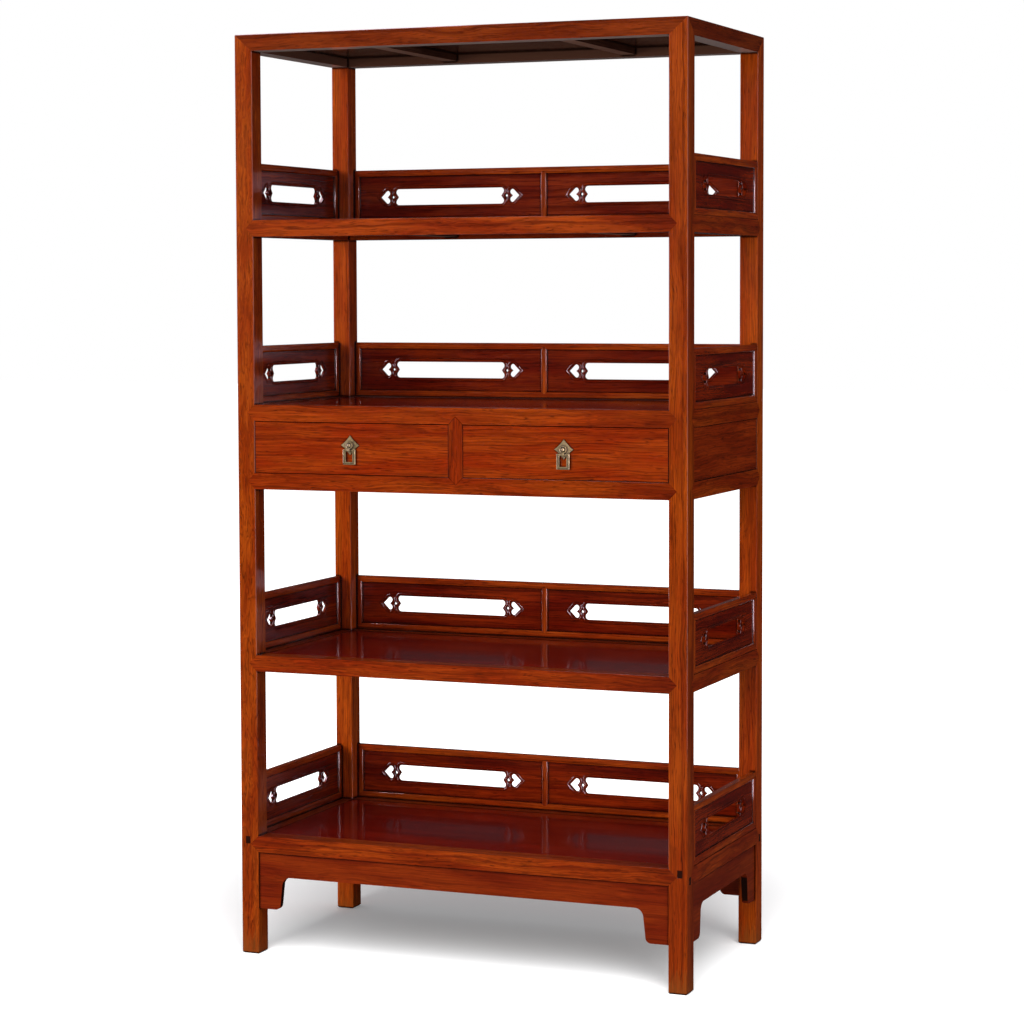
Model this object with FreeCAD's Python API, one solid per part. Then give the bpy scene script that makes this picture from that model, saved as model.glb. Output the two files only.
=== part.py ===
"""Open Chinese bookshelf with a pair of drawers, joined in hardwood without nails.

Four through posts carry a three-way mitred top frame, four framed shelves and a case for two
drawers.  Every rail meets its posts with a pointed mitred shoulder and a tenon.  Low pierced
galleries stand round the back and sides of each shelf, and aprons with bracket ends brace the
legs.  Brass pulls with hanging bails open the drawers.

Millimetres.  X runs to the right, Y to the back, Z up.  The origin is on the floor, in the
middle of the whole footprint, drawer pulls included.
"""
import FreeCAD, Part
import math
import os

from FreeCAD import Vector

os.makedirs("parts", exist_ok=True)

# Case and posts
case_width = 925.0
case_depth = 470.0
leg_clearance = 203.0
bay_height = 326.0
drawer_opening = 101.0
rail_height = 32.0
post_width = 37.0
post_depth = 39.0
arris_chamfer = 1.2
foot_chamfer = 3.0

# Joints between rails and posts
shoulder_depth = 12.0
tenon_thickness = 10.0
tenon_shoulder = 1.5
tenon_from_tip = 1.4
tenon_stop = 6.0
top_tenon_size = 12.0
top_tenon_height = 22.0

# Shelf panels and their battens
panel_thickness = 11.0
panel_drop = 1.0
panel_tongue = 8.0
panel_tongue_thickness = 5.0
batten_offset = 193.0
batten_width = 30.0
batten_height = 15.5
batten_tenon = 6.0

# Drawer case
centre_stile_width = 29.0
centre_stile_depth = 30.0
centre_stile_tenon = 12.0
case_panel_thickness = 8.0
case_panel_recess = 2.0
case_panel_tongue = 6.0
dust_board_thickness = 8.0
runner_height = 18.0
runner_bearing = 14.0
guide_height = 18.0
guide_width = 12.0
guide_clearance = 0.5

# Galleries
gallery_height = 112.5
gallery_gap = 0.5
gallery_recess = 1.0
gallery_thickness = 12.0
gallery_rail_height = 13.5
gallery_stile_width = 13.0
gallery_middle_width = 14.0
bead_width = 5.0
bead_radius = 3.5
bead_facets = 1
pierced_thickness = 5.0
pierced_tongue = 4.0

# Piercings of the gallery panels
slot_margin = 81.0
slot_height = 33.0
slot_lobe_radius = 6.5
slot_cusp_depth = 5.6
slot_heart_gap = 12.4
heart_lobe_radius = 5.8
heart_lobe_rise = 7.6
heart_notch_depth = 5.6
heart_length = 21.5
diamond_width = 8.2
diamond_height = 9.2
piercing_cusp_angle = 45.0
piercing_facet_angle = 61.0

# Aprons
apron_thickness = 12.0
apron_recess = 3.0
apron_tongue = 5.0
apron_tongue_thickness = 5.0
apron_edge_drop = 47.0
bracket_drop = 112.0
bracket_width_at_foot = 45.0
bracket_width_at_edge = 52.0
bracket_foot_radius = 11.0
bracket_edge_radius = 17.0
apron_tongue_rise = 10.0

# Drawers
drawer_reveal = 1.0
drawer_rest_gap = 0.3
drawer_front_thickness = 18.0
drawer_front_inset = 0.6
drawer_back_clearance = 49.4
drawer_side_thickness = 10.0
drawer_side_height = 88.0
drawer_side_inset = 1.0
drawer_back_height = 72.0
drawer_groove = 4.0
drawer_bottom_thickness = 6.0
drawer_bottom_lift = 6.0
dovetail_lap = 12.0
dovetail_count = 3
dovetail_width = 17.0
dovetail_flare = 3.5

# Brass pulls
plate_half_width = 18.8
plate_half_height = 19.0
plate_thickness = 1.4
plate_edge_dip = 1.3
plate_edge_facets = 4
plate_above_middle = 7.1
boss_radius = 7.2
boss_reach = 6.0
boss_bevel_height = 1.2
boss_crown_radius = 5.4
turned_facets = 16
lug_width = 5.0
lug_radius = 3.0
split_leg_width = 4.4
split_leg_thickness = 1.2
split_leg_length = 13.0
split_leg_clearance = 0.05
bail_below_plate = 10.1
bail_width = 28.0
bail_window_width = 14.0
bail_drop = 27.0
bail_foot_height = 4.8
bail_thickness = 2.4
bail_head_rise = 2.2
bail_corner_radius = 1.2
bail_corner_facets = 2
bail_bar_radius = 1.5
bail_bar_clearance = 0.05

# Overrun of every cutting shape past what it cuts
overrun = 1.0

# Levels of the top faces of the frames, and the planes of the posts' inner faces
bottom_level = leg_clearance + rail_height
middle_level = bottom_level + bay_height + rail_height
drawer_floor_level = middle_level + bay_height + rail_height
case_level = drawer_floor_level + drawer_opening + rail_height
upper_level = case_level + bay_height + rail_height
top_level = upper_level + bay_height + rail_height
half_width = case_width / 2
half_depth = case_depth / 2
inner_x = half_width - post_width
inner_y = half_depth - post_depth
mitre_tip = rail_height / 2
shelf_levels = {
    "bottom": bottom_level,
    "middle": middle_level,
    "case_top": case_level,
    "upper": upper_level,
}

# The drawers end clear of the panel at the back of their case
case_back_thickness = case_panel_recess + case_panel_thickness
drawer_length = case_depth - drawer_front_inset - case_back_thickness - drawer_back_clearance

# The pulls stand proud of the case, and the origin is the middle of it all
boss_crown = boss_reach + boss_bevel_height
pull_reach = plate_thickness + boss_crown - drawer_front_inset
origin_shift = Vector(0, pull_reach / 2, 0)

nodes = {}


def block(x_low, x_high, y_low, y_high, z_low, z_high):
    """Rectangular bar between two corners."""
    corner = Vector(x_low, y_low, z_low)
    return Part.makeBox(x_high - x_low, y_high - y_low, z_high - z_low, corner)


def fused(solids):
    """One clean solid from solids that meet or overlap."""
    whole = solids[0].fuse(solids[1:])
    return whole.removeSplitter()


def less(solid, cutters):
    """The solid with every cutter taken out of it."""
    return solid.cut(cutters).removeSplitter()


def mirror_x(shape):
    """The same piece on the other side, left for right."""
    return shape.mirror(Vector(0, 0, 0), Vector(1, 0, 0))


def mirror_y(shape):
    """The same piece at the back instead of the front."""
    return shape.mirror(Vector(0, 0, 0), Vector(0, 1, 0))


def quarter_turn(shape):
    """A piece made along the front, turned to lie along the right side."""
    turned = shape.copy()
    turned.rotate(Vector(0, 0, 0), Vector(0, 0, 1), 90)
    return turned


def prism(points, way):
    """Straight-sided outline pushed along a vector."""
    outline = Part.makePolygon(points + [points[0]])
    return Part.Face(outline).extrude(way)


def rounded_edges(points, radii):
    """Edges of a closed outline whose corners are arcs of the given radii."""
    count = len(points)
    starts = []
    ends = []
    middles = []
    for index in range(count):
        corner = points[index]
        before = (points[index - 1] - corner).normalize()
        after = (points[(index + 1) % count] - corner).normalize()
        half_angle = before.getAngle(after) / 2
        reach = radii[index] / math.tan(half_angle)
        starts.append(corner + before * reach)
        ends.append(corner + after * reach)
        bisector = (before + after).normalize()
        centre_distance = radii[index] / math.sin(half_angle)
        middles.append(corner + bisector * (centre_distance - radii[index]))
    edges = []
    for index in range(count):
        if radii[index] > 0:
            edges.append(Part.Arc(starts[index], middles[index], ends[index]).toShape())
        following = (index + 1) % count
        edges.append(Part.makeLine(ends[index], starts[following]))
    return edges


def rounded_prism(points, radii, way):
    """Outline with rounded corners pushed along a vector."""
    return Part.Face(Part.Wire(rounded_edges(points, radii))).extrude(way)


def faceted_corner(before, corner, after, radius, facets):
    """Points of a corner that is rounded off in a few flat facets."""
    to_before = (before - corner).normalize()
    to_after = (after - corner).normalize()
    half_angle = to_before.getAngle(to_after) / 2
    bisector = (to_before + to_after).normalize()
    centre = corner + bisector * (radius / math.sin(half_angle))
    start = corner + to_before * (radius / math.tan(half_angle)) - centre
    turn = math.pi - 2 * half_angle
    axis = to_before.cross(to_after) * -1
    points = []
    for index in range(facets + 1):
        spin = FreeCAD.Rotation(axis, math.degrees(turn * index / facets))
        points.append(centre + spin.multVec(start))
    return points


def eased_prism(points, radii, facets, way):
    """Outline whose corners are rounded off in facets, pushed along a vector."""
    eased = []
    for index, corner in enumerate(points):
        if radii[index] > 0:
            before = points[index - 1]
            after = points[(index + 1) % len(points)]
            eased = eased + faceted_corner(before, corner, after, radii[index], facets)
        else:
            eased.append(corner)
    return prism(eased, way)


def pyramid(base, apex):
    """Solid with a four-cornered base and one apex."""
    faces = [Part.Face(Part.makePolygon(base + [base[0]]))]
    for index in range(len(base)):
        corner = base[index]
        following = base[(index + 1) % len(base)]
        faces.append(Part.Face(Part.makePolygon([corner, following, apex, corner])))
    return Part.Solid(Part.makeShell(faces))


def add_node(name, solids):
    """Keep a piece, or a group of like pieces, under its name."""
    nodes[name] = solids


def eased_case():
    """The whole outer block of the case with its arrises eased."""
    case = block(-half_width, half_width, -half_depth, half_depth, 0, top_level)
    edges = [edge for edge in case.Edges if edge.BoundBox.ZMax > foot_chamfer]
    return case.makeChamfer(arris_chamfer, edges)


def pointed_rail(level, half_span, outer, width, cross_width, low_tenon, through):
    """Rail along the front with pointed shoulders on its face and a tenon at each end.

    The tenon of a front or rear rail fills the lower half of the joint, and that of a side
    rail the upper half, so that both pass each other inside the post.
    """
    low = level - rail_height
    middle = level - mitre_tip
    face = -outer
    body = block(-half_span, half_span, face, face + width, low, level)
    outline = [
        Vector(-half_span, face, low),
        Vector(half_span, face, low),
        Vector(half_span + mitre_tip, face, middle),
        Vector(half_span, face, level),
        Vector(-half_span, face, level),
        Vector(-half_span - mitre_tip, face, middle),
    ]
    shoulders = prism(outline, Vector(0, shoulder_depth, 0))
    reach = half_span + cross_width
    if not through:
        reach = reach - tenon_stop
    tenon_back = face + width - mitre_tip - tenon_from_tip
    tenon_front = tenon_back - tenon_thickness
    if low_tenon:
        tenon_low = low + tenon_shoulder
        tenon_high = middle
    else:
        tenon_low = middle
        tenon_high = level - tenon_shoulder
    tenons = block(-reach, reach, tenon_front, tenon_back, tenon_low, tenon_high)
    return fused([body, shoulders, tenons])


def frame_rails(level, through):
    """Front, rear, right and left rails of one frame."""
    front = pointed_rail(level, inner_x, half_depth, post_depth, post_width, True, through)
    side = pointed_rail(level, inner_y, half_width, post_width, post_depth, False, through)
    right = quarter_turn(side)
    return {"front": front, "rear": mirror_y(front), "right": right, "left": mirror_x(right)}


def floating_board(top, thickness, tongue, tongue_low, tongue_high):
    """Board between the rails with a tongue on each edge, clear of the posts."""
    board = block(-inner_x, inner_x, -inner_y, inner_y, top - thickness, top)
    x_reach = inner_x + tongue
    y_reach = inner_y + tongue
    side_tongues = block(-x_reach, x_reach, -inner_y, inner_y, tongue_low, tongue_high)
    end_tongues = block(-inner_x, inner_x, -y_reach, y_reach, tongue_low, tongue_high)
    return fused([board, side_tongues, end_tongues])


def shelf_panel(level):
    """Floating panel of a shelf, a little below the rails' top faces."""
    top = level - panel_drop
    middle = top - panel_thickness / 2
    tongue_low = middle - panel_tongue_thickness / 2
    tongue_high = middle + panel_tongue_thickness / 2
    return floating_board(top, panel_thickness, panel_tongue, tongue_low, tongue_high)


def shelf_battens(level):
    """Two battens under a panel, tenoned into the front and rear rails."""
    high = level - panel_drop - panel_thickness
    reach = inner_y + batten_tenon
    left = -batten_offset - batten_width / 2
    batten = block(left, left + batten_width, -reach, reach, high - batten_height, high)
    return [batten, mirror_x(batten)]


def top_rails(envelope):
    """Top rails, each ending in a pyramid whose point is the corner of the case."""
    low = top_level - rail_height
    front = block(-inner_x, inner_x, -half_depth, -inner_y, low, top_level)
    front_end = [
        Vector(inner_x, -half_depth, low),
        Vector(inner_x, -inner_y, low),
        Vector(inner_x, -inner_y, top_level),
        Vector(inner_x, -half_depth, top_level),
    ]
    corner = Vector(half_width, -half_depth, top_level)
    front_tip = pyramid(front_end, corner)
    front = fused([front, front_tip, mirror_x(front_tip)]).common(envelope)
    right = block(inner_x, half_width, -inner_y, inner_y, low, top_level)
    right_end = [
        Vector(inner_x, -inner_y, low),
        Vector(half_width, -inner_y, low),
        Vector(half_width, -inner_y, top_level),
        Vector(inner_x, -inner_y, top_level),
    ]
    right_tip = pyramid(right_end, corner)
    right = fused([right, right_tip, mirror_y(right_tip)]).common(envelope)
    return {"front": front, "rear": mirror_y(front), "right": right, "left": mirror_x(right)}


def plain_post(envelope):
    """Front right post before its mortises: eased bar, mitred head and square top tenon."""
    shoulder = top_level - rail_height
    stock = block(inner_x, half_width, -half_depth, -inner_y, 0, shoulder)
    upright = [edge for edge in stock.Edges if edge.BoundBox.ZLength > rail_height]
    under = [edge for edge in stock.Edges if edge.BoundBox.ZMax < foot_chamfer]
    eased = stock.makeChamfer(arris_chamfer, upright)
    bar = eased.common(stock.makeChamfer(foot_chamfer, under))
    head_base = [
        Vector(inner_x, -half_depth, shoulder),
        Vector(half_width, -half_depth, shoulder),
        Vector(half_width, -inner_y, shoulder),
        Vector(inner_x, -inner_y, shoulder),
    ]
    head = pyramid(head_base, Vector(half_width, -half_depth, top_level)).common(envelope)
    middle_x = half_width - post_width / 2
    middle_y = -half_depth + post_depth / 2
    half_tenon = top_tenon_size / 2
    tenon = block(
        middle_x - half_tenon,
        middle_x + half_tenon,
        middle_y - half_tenon,
        middle_y + half_tenon,
        shoulder,
        shoulder + top_tenon_height,
    )
    return fused([bar, head, tenon])


def arc_points(centre, radius, start, end):
    """Points round an arc in the XZ plane, from one angle to another in degrees."""
    facets = math.ceil(abs(end - start) / piercing_facet_angle)
    points = []
    for index in range(facets + 1):
        angle = math.radians(start + (end - start) * index / facets)
        points.append(centre + Vector(math.cos(angle), 0, math.sin(angle)) * radius)
    return points


def below(points):
    """The same points mirrored to the lower side, in the opposite order."""
    return [Vector(point.x, 0, -point.z) for point in reversed(points)]


def pierced_slot(half_length, half_height):
    """Outline of a long slot whose ends have two lobes with a pointed cusp between them."""
    lobe = slot_lobe_radius
    centre = Vector(half_length - lobe, 0, half_height - lobe)
    upper = arc_points(centre, lobe, 90, -piercing_cusp_angle)
    upper.append(Vector(half_length - slot_cusp_depth, 0, 0))
    right = upper + below(upper)[1:]
    left = [Vector(-point.x, 0, point.z) for point in reversed(right)]
    return right + left


def pierced_heart(tip_x):
    """Outline of a heart that points outwards, its point at tip_x on the right."""
    lobe = heart_lobe_radius
    lobe_side = tip_x - heart_length
    centre = Vector(lobe_side + lobe, 0, heart_lobe_rise)
    run = tip_x - centre.x
    slope = math.atan2(heart_lobe_rise, run) + math.asin(lobe / math.hypot(run, heart_lobe_rise))
    upper = arc_points(centre, lobe, 90 - math.degrees(slope), 180 + piercing_cusp_angle)
    upper.append(Vector(lobe_side + heart_notch_depth, 0, 0))
    return [Vector(tip_x, 0, 0)] + upper + below(upper)[1:]


def pierced_diamond(centre_x):
    """Outline of the small diamond between the slot and the heart."""
    return [
        Vector(centre_x + diamond_width / 2, 0, 0),
        Vector(centre_x, 0, diamond_height / 2),
        Vector(centre_x - diamond_width / 2, 0, 0),
        Vector(centre_x, 0, -diamond_height / 2),
    ]


def piercings(centre_x, half_sight, middle_z):
    """Cutters for the slot, two diamonds and two hearts of one gallery panel."""
    half_slot = half_sight - slot_margin
    heart_tip = half_slot + slot_heart_gap + heart_length
    heart = pierced_heart(heart_tip)
    diamond = pierced_diamond(half_slot + slot_heart_gap / 2)
    through = Vector(0, gallery_thickness, 0)
    cutters = [prism(pierced_slot(half_slot, slot_height / 2), through)]
    for outline in (heart, diamond):
        cutter = prism(outline, through)
        cutters = cutters + [cutter, mirror_x(cutter)]
    place = Vector(centre_x, 0, middle_z)
    return [cutter.translated(place) for cutter in cutters]


def beaded_rail(half_span, low, high, bead_at_top):
    """Gallery rail whose inner edge is rounded to a bead on both faces."""
    points = [
        Vector(-half_span, 0, low),
        Vector(-half_span, gallery_thickness, low),
        Vector(-half_span, gallery_thickness, high),
        Vector(-half_span, 0, high),
    ]
    if bead_at_top:
        radii = [0, 0, bead_radius, bead_radius]
    else:
        radii = [bead_radius, bead_radius, 0, 0]
    return eased_prism(points, radii, bead_facets, Vector(2 * half_span, 0, 0))


def beaded_stile(left, right, bead_left, bead_right):
    """Gallery stile with beads mitred into the rails' beads at both ends."""
    sight_low = gallery_rail_height
    sight_high = gallery_height - gallery_rail_height
    end_low = sight_low - bead_width
    end_high = sight_high + bead_width
    left_radius = bead_radius if bead_left else 0
    right_radius = bead_radius if bead_right else 0
    section = [
        Vector(left, 0, end_low),
        Vector(right, 0, end_low),
        Vector(right, gallery_thickness, end_low),
        Vector(left, gallery_thickness, end_low),
    ]
    radii = [left_radius, right_radius, right_radius, left_radius]
    bar = eased_prism(section, radii, bead_facets, Vector(0, 0, end_high - end_low))
    left_cut = bead_width if bead_left else 0
    right_cut = bead_width if bead_right else 0
    outline = [
        Vector(left + left_cut, 0, end_low),
        Vector(right - right_cut, 0, end_low),
        Vector(right, 0, end_low + right_cut),
        Vector(right, 0, end_high - right_cut),
        Vector(right - right_cut, 0, end_high),
        Vector(left + left_cut, 0, end_high),
        Vector(left, 0, end_high - left_cut),
        Vector(left, 0, end_low + left_cut),
    ]
    kept = []
    for point in outline:
        if not kept or point.distanceToPoint(kept[-1]) > 0:
            kept.append(point)
    if kept[0].distanceToPoint(kept[-1]) == 0:
        kept.pop()
    return bar.common(prism(kept, Vector(0, gallery_thickness, 0)))


def gallery(half_span, with_middle):
    """Frame members and pierced panels of one gallery, standing on z = 0 along X."""
    stile = gallery_stile_width
    stiles = [
        beaded_stile(-half_span, -half_span + stile, False, True),
        beaded_stile(half_span - stile, half_span, True, False),
    ]
    sights = [(-half_span + stile, half_span - stile)]
    if with_middle:
        half_middle = gallery_middle_width / 2
        stiles.append(beaded_stile(-half_middle, half_middle, True, True))
        sights = [(-half_span + stile, -half_middle), (half_middle, half_span - stile)]
    low_rail = beaded_rail(half_span, 0, gallery_rail_height, True)
    high_rail_low = gallery_height - gallery_rail_height
    high_rail = beaded_rail(half_span, high_rail_low, gallery_height, False)
    panels = []
    boards = []
    for left, right in sights:
        front = (gallery_thickness - pierced_thickness) / 2
        board = block(
            left - pierced_tongue,
            right + pierced_tongue,
            front,
            front + pierced_thickness,
            gallery_rail_height - pierced_tongue,
            high_rail_low + pierced_tongue,
        )
        boards.append(board)
        cutters = piercings((left + right) / 2, (right - left) / 2, gallery_height / 2)
        panels.append(less(board, cutters))
    members = [less(rail, stiles + boards) for rail in (low_rail, high_rail)]
    members = members + [less(member, boards) for member in stiles]
    return members, panels


def place_galleries(level_name, level):
    """Back and side galleries of one shelf."""
    foot = level + gallery_gap
    back_members, back_panels = gallery(inner_x, True)
    back_place = Vector(0, half_depth - gallery_recess - gallery_thickness, foot)
    side_members, side_panels = gallery(inner_y, False)
    side_place = Vector(0, -half_width + gallery_recess, foot)
    frames = [member.translated(back_place) for member in back_members]
    panels = [panel.translated(back_place) for panel in back_panels]
    right_members = [quarter_turn(member.translated(side_place)) for member in side_members]
    right_panels = [quarter_turn(panel.translated(side_place)) for panel in side_panels]
    side_frames = right_members + [mirror_x(member) for member in right_members]
    panels = panels + right_panels + [mirror_x(panel) for panel in right_panels]
    add_node(level_name + "_gallery_back_frame", frames)
    add_node(level_name + "_gallery_side_frames", side_frames)
    add_node(level_name + "_gallery_panels", panels)


def apron(half_span, outer):
    """Apron along the front: straight lower edge between bracket ends, tongued all round."""
    high = leg_clearance
    edge = high - apron_edge_drop
    foot = high - bracket_drop
    face = -outer + apron_recess
    at_edge = half_span - bracket_width_at_edge
    at_foot = half_span - bracket_width_at_foot
    points = [
        Vector(-half_span, face, high),
        Vector(-half_span, face, foot),
        Vector(-at_foot, face, foot),
        Vector(-at_edge, face, edge),
        Vector(at_edge, face, edge),
        Vector(at_foot, face, foot),
        Vector(half_span, face, foot),
        Vector(half_span, face, high),
    ]
    foot_radius_here = bracket_foot_radius
    edge_radius_here = bracket_edge_radius
    radii = [0, 0, foot_radius_here, edge_radius_here, edge_radius_here, foot_radius_here, 0, 0]
    board = rounded_prism(points, radii, Vector(0, apron_thickness, 0))
    tongue_face = face + (apron_thickness - apron_tongue_thickness) / 2
    tongue_back = tongue_face + apron_tongue_thickness
    top_tongue = block(
        -half_span, half_span, tongue_face, tongue_back, edge, high + apron_tongue
    )
    end_reach = half_span + apron_tongue
    end_inner = half_span - bracket_width_at_foot / 2
    end_low = foot + apron_tongue_rise
    end_high = high - apron_tongue
    right_tongue = block(
        end_inner, end_reach, tongue_face, tongue_back, end_low, end_high
    )
    return fused([board, top_tongue, right_tongue, mirror_x(right_tongue)])


def aprons():
    """Front, rear, right and left aprons."""
    front = apron(inner_x, half_depth)
    right = quarter_turn(apron(inner_y, half_width))
    return {"front": front, "rear": mirror_y(front), "right": right, "left": mirror_x(right)}


def case_wall(half_span, outer):
    """Panel that closes a side or the back of the drawer case, let into posts and rails."""
    low = drawer_floor_level
    high = case_level - rail_height
    face = -outer + case_panel_recess
    back = face + case_panel_thickness
    reach = half_span + case_panel_tongue
    wide = block(-reach, reach, face, back, low, high)
    tall = block(
        -half_span, half_span, face, back, low - case_panel_tongue, high + case_panel_tongue
    )
    return fused([wide, tall])


def centre_stile():
    """Stile between the drawers with pointed ends in the rails' faces and a tenon behind."""
    low = drawer_floor_level
    high = case_level - rail_height
    half = centre_stile_width / 2
    face = -half_depth
    outline = [
        Vector(-half, face, low),
        Vector(0, face, low - half),
        Vector(half, face, low),
        Vector(half, face, high),
        Vector(0, face, high + half),
        Vector(-half, face, high),
    ]
    pointed = prism(outline, Vector(0, shoulder_depth, 0))
    body = block(-half, half, face, face + centre_stile_depth, low, high)
    tenon_face = face + shoulder_depth
    tenon = block(
        -half / 2,
        half / 2,
        tenon_face,
        tenon_face + tenon_thickness,
        low - centre_stile_tenon,
        high + centre_stile_tenon,
    )
    return fused([pointed, body, tenon])


def drawer_tracks():
    """Runners that carry the drawers' sides and guides that keep them straight."""
    top = drawer_floor_level
    low = top - runner_height
    side_face = inner_x - drawer_reveal - drawer_side_inset
    right_runner = block(side_face - runner_bearing, inner_x, -inner_y, inner_y, low, top)
    middle_face = centre_stile_width / 2 + drawer_reveal + drawer_side_inset
    middle_reach = middle_face + runner_bearing
    middle_runner = block(-middle_reach, middle_reach, -inner_y, inner_y, low, top)
    guide_top = top + guide_height
    guide_face = side_face + guide_clearance
    right_guide = block(
        guide_face, guide_face + guide_width, -inner_y, inner_y, top, guide_top
    )
    middle_guide_reach = middle_face - guide_clearance
    stile_back = -half_depth + centre_stile_depth
    middle_guide = block(
        -middle_guide_reach, middle_guide_reach, stile_back, inner_y, top, guide_top
    )
    sides = [right_runner, right_guide]
    return sides + [mirror_x(piece) for piece in sides] + [middle_runner, middle_guide]


def dovetails(side_left, side_right, low, high, shoulder):
    """Tails on the front end of a drawer side, wider at their tips than at the shoulder."""
    pitch = (high - low) / dovetail_count
    tails = []
    for index in range(dovetail_count):
        middle = low + pitch * (index + 0.5)
        narrow = dovetail_width / 2 - dovetail_flare
        wide = dovetail_width / 2
        tip = shoulder - dovetail_lap
        points = [
            Vector(side_left, shoulder, middle - narrow),
            Vector(side_left, tip, middle - wide),
            Vector(side_left, tip, middle + wide),
            Vector(side_left, shoulder, middle + narrow),
        ]
        tails.append(prism(points, Vector(side_right - side_left, 0, 0)))
    return tails


def plate_middle(drawer_middle):
    """Middle of the pull's plate, on the face of the drawer front."""
    face = -half_depth + drawer_front_inset
    level = drawer_floor_level + drawer_opening / 2 + plate_above_middle
    return Vector(drawer_middle, face, level)


def bail_axis(drawer_middle):
    """Middle of the bail's round bar, in the lug under the boss."""
    reach = plate_thickness + boss_crown - lug_radius
    return plate_middle(drawer_middle) - Vector(0, reach, bail_below_plate)


def pull_plate(drawer_middle):
    """Lozenge plate whose four edges dip in between its points."""
    corners = [
        Vector(plate_half_width, 0, 0),
        Vector(0, 0, plate_half_height),
        Vector(-plate_half_width, 0, 0),
        Vector(0, 0, -plate_half_height),
    ]
    outline = []
    for index, start in enumerate(corners):
        end = corners[(index + 1) % len(corners)]
        middle = (start + end) / 2
        dipped = middle - Vector(middle).normalize() * plate_edge_dip
        hollow = Part.Arc(start, dipped, end).toShape()
        outline = outline + hollow.discretize(plate_edge_facets + 1)[:-1]
    plate = prism(outline, Vector(0, -plate_thickness, 0))
    return plate.translated(plate_middle(drawer_middle))


def ring_points(centre, radius, sideways):
    """Points of a many-sided ring that stands upright, flat along one sideways direction."""
    points = []
    for index in range(turned_facets):
        angle = math.tau * index / turned_facets
        across = sideways * math.cos(angle)
        points.append(centre + (across + Vector(0, 0, math.sin(angle))) * radius)
    return points


def ring_wire(centre, radius):
    """Closed ring about the Y axis."""
    points = ring_points(centre, radius, Vector(1, 0, 0))
    return Part.makePolygon(points + [points[0]])


def crowned_boss(middle):
    """Round boss with a bevelled rim and a flat crown, on the middle of the plate."""
    back = middle - Vector(0, plate_thickness, 0)
    rim = back - Vector(0, boss_reach, 0)
    crown = rim - Vector(0, boss_bevel_height, 0)
    rings = [ring_wire(back, boss_radius), ring_wire(rim, boss_radius)]
    rings.append(ring_wire(crown, boss_crown_radius))
    return Part.makeLoft(rings, True, True)


def pull_pin(drawer_middle):
    """Boss with the bail's lug under it, and two flat legs clenched behind the front."""
    middle = plate_middle(drawer_middle)
    axis = bail_axis(drawer_middle)
    boss = crowned_boss(middle)
    left = drawer_middle - lug_width / 2
    lug_start = Vector(left, axis.y, axis.z)
    lug_outline = ring_points(lug_start, lug_radius, Vector(0, 1, 0))
    lug_eye = prism(lug_outline, Vector(lug_width, 0, 0))
    lug_neck = block(
        left,
        left + lug_width,
        axis.y - lug_radius,
        middle.y - plate_thickness,
        axis.z,
        middle.z,
    )
    back = middle.y - plate_thickness
    inside = middle.y + drawer_front_thickness
    low = middle.z - split_leg_width / 2
    high = middle.z + split_leg_width / 2
    shank = block(
        drawer_middle - split_leg_thickness,
        drawer_middle + split_leg_thickness,
        back,
        inside + split_leg_thickness,
        low,
        high,
    )
    legs = block(
        drawer_middle - split_leg_length,
        drawer_middle + split_leg_length,
        inside,
        inside + split_leg_thickness,
        low,
        high,
    )
    bore_start = lug_start - Vector(overrun, 0, 0)
    bore_radius = bail_bar_radius + bail_bar_clearance
    bore_length = lug_width + 2 * overrun
    bore = Part.makeCylinder(bore_radius, bore_length, bore_start, Vector(1, 0, 0))
    return less(fused([boss, lug_neck, lug_eye, shank, legs]), [bore])


def leg_hole(drawer_middle):
    """Cutter for the hole that both legs pass through, in plate and drawer front."""
    middle = plate_middle(drawer_middle)
    half_width_here = split_leg_thickness + split_leg_clearance
    half_height = split_leg_width / 2 + split_leg_clearance
    return block(
        drawer_middle - half_width_here,
        drawer_middle + half_width_here,
        middle.y - plate_thickness - overrun,
        middle.y + drawer_front_thickness + overrun,
        middle.z - half_height,
        middle.z + half_height,
    )


def pull_bail(drawer_middle):
    """Flat rectangular bail hanging from the round bar that runs through the lug."""
    axis = bail_axis(drawer_middle)
    left = drawer_middle - bail_width / 2
    right = drawer_middle + bail_width / 2
    back = axis.y + bail_thickness / 2
    low = axis.z - bail_drop
    high = axis.z + bail_head_rise
    corners = [
        Vector(left, back, low),
        Vector(right, back, low),
        Vector(right, back, high),
        Vector(left, back, high),
    ]
    radii = [bail_corner_radius] * len(corners)
    slab = eased_prism(corners, radii, bail_corner_facets, Vector(0, -bail_thickness, 0))
    half_window = bail_window_width / 2
    window = block(
        drawer_middle - half_window,
        drawer_middle + half_window,
        back - bail_thickness - overrun,
        back + overrun,
        low + bail_foot_height,
        high + overrun,
    )
    bar_start = Vector(drawer_middle - half_window - overrun, axis.y, axis.z)
    bar_length = bail_window_width + 2 * overrun
    bar = Part.makeCylinder(bail_bar_radius, bar_length, bar_start, Vector(1, 0, 0))
    return fused([less(slab, [window]), bar])


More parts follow.
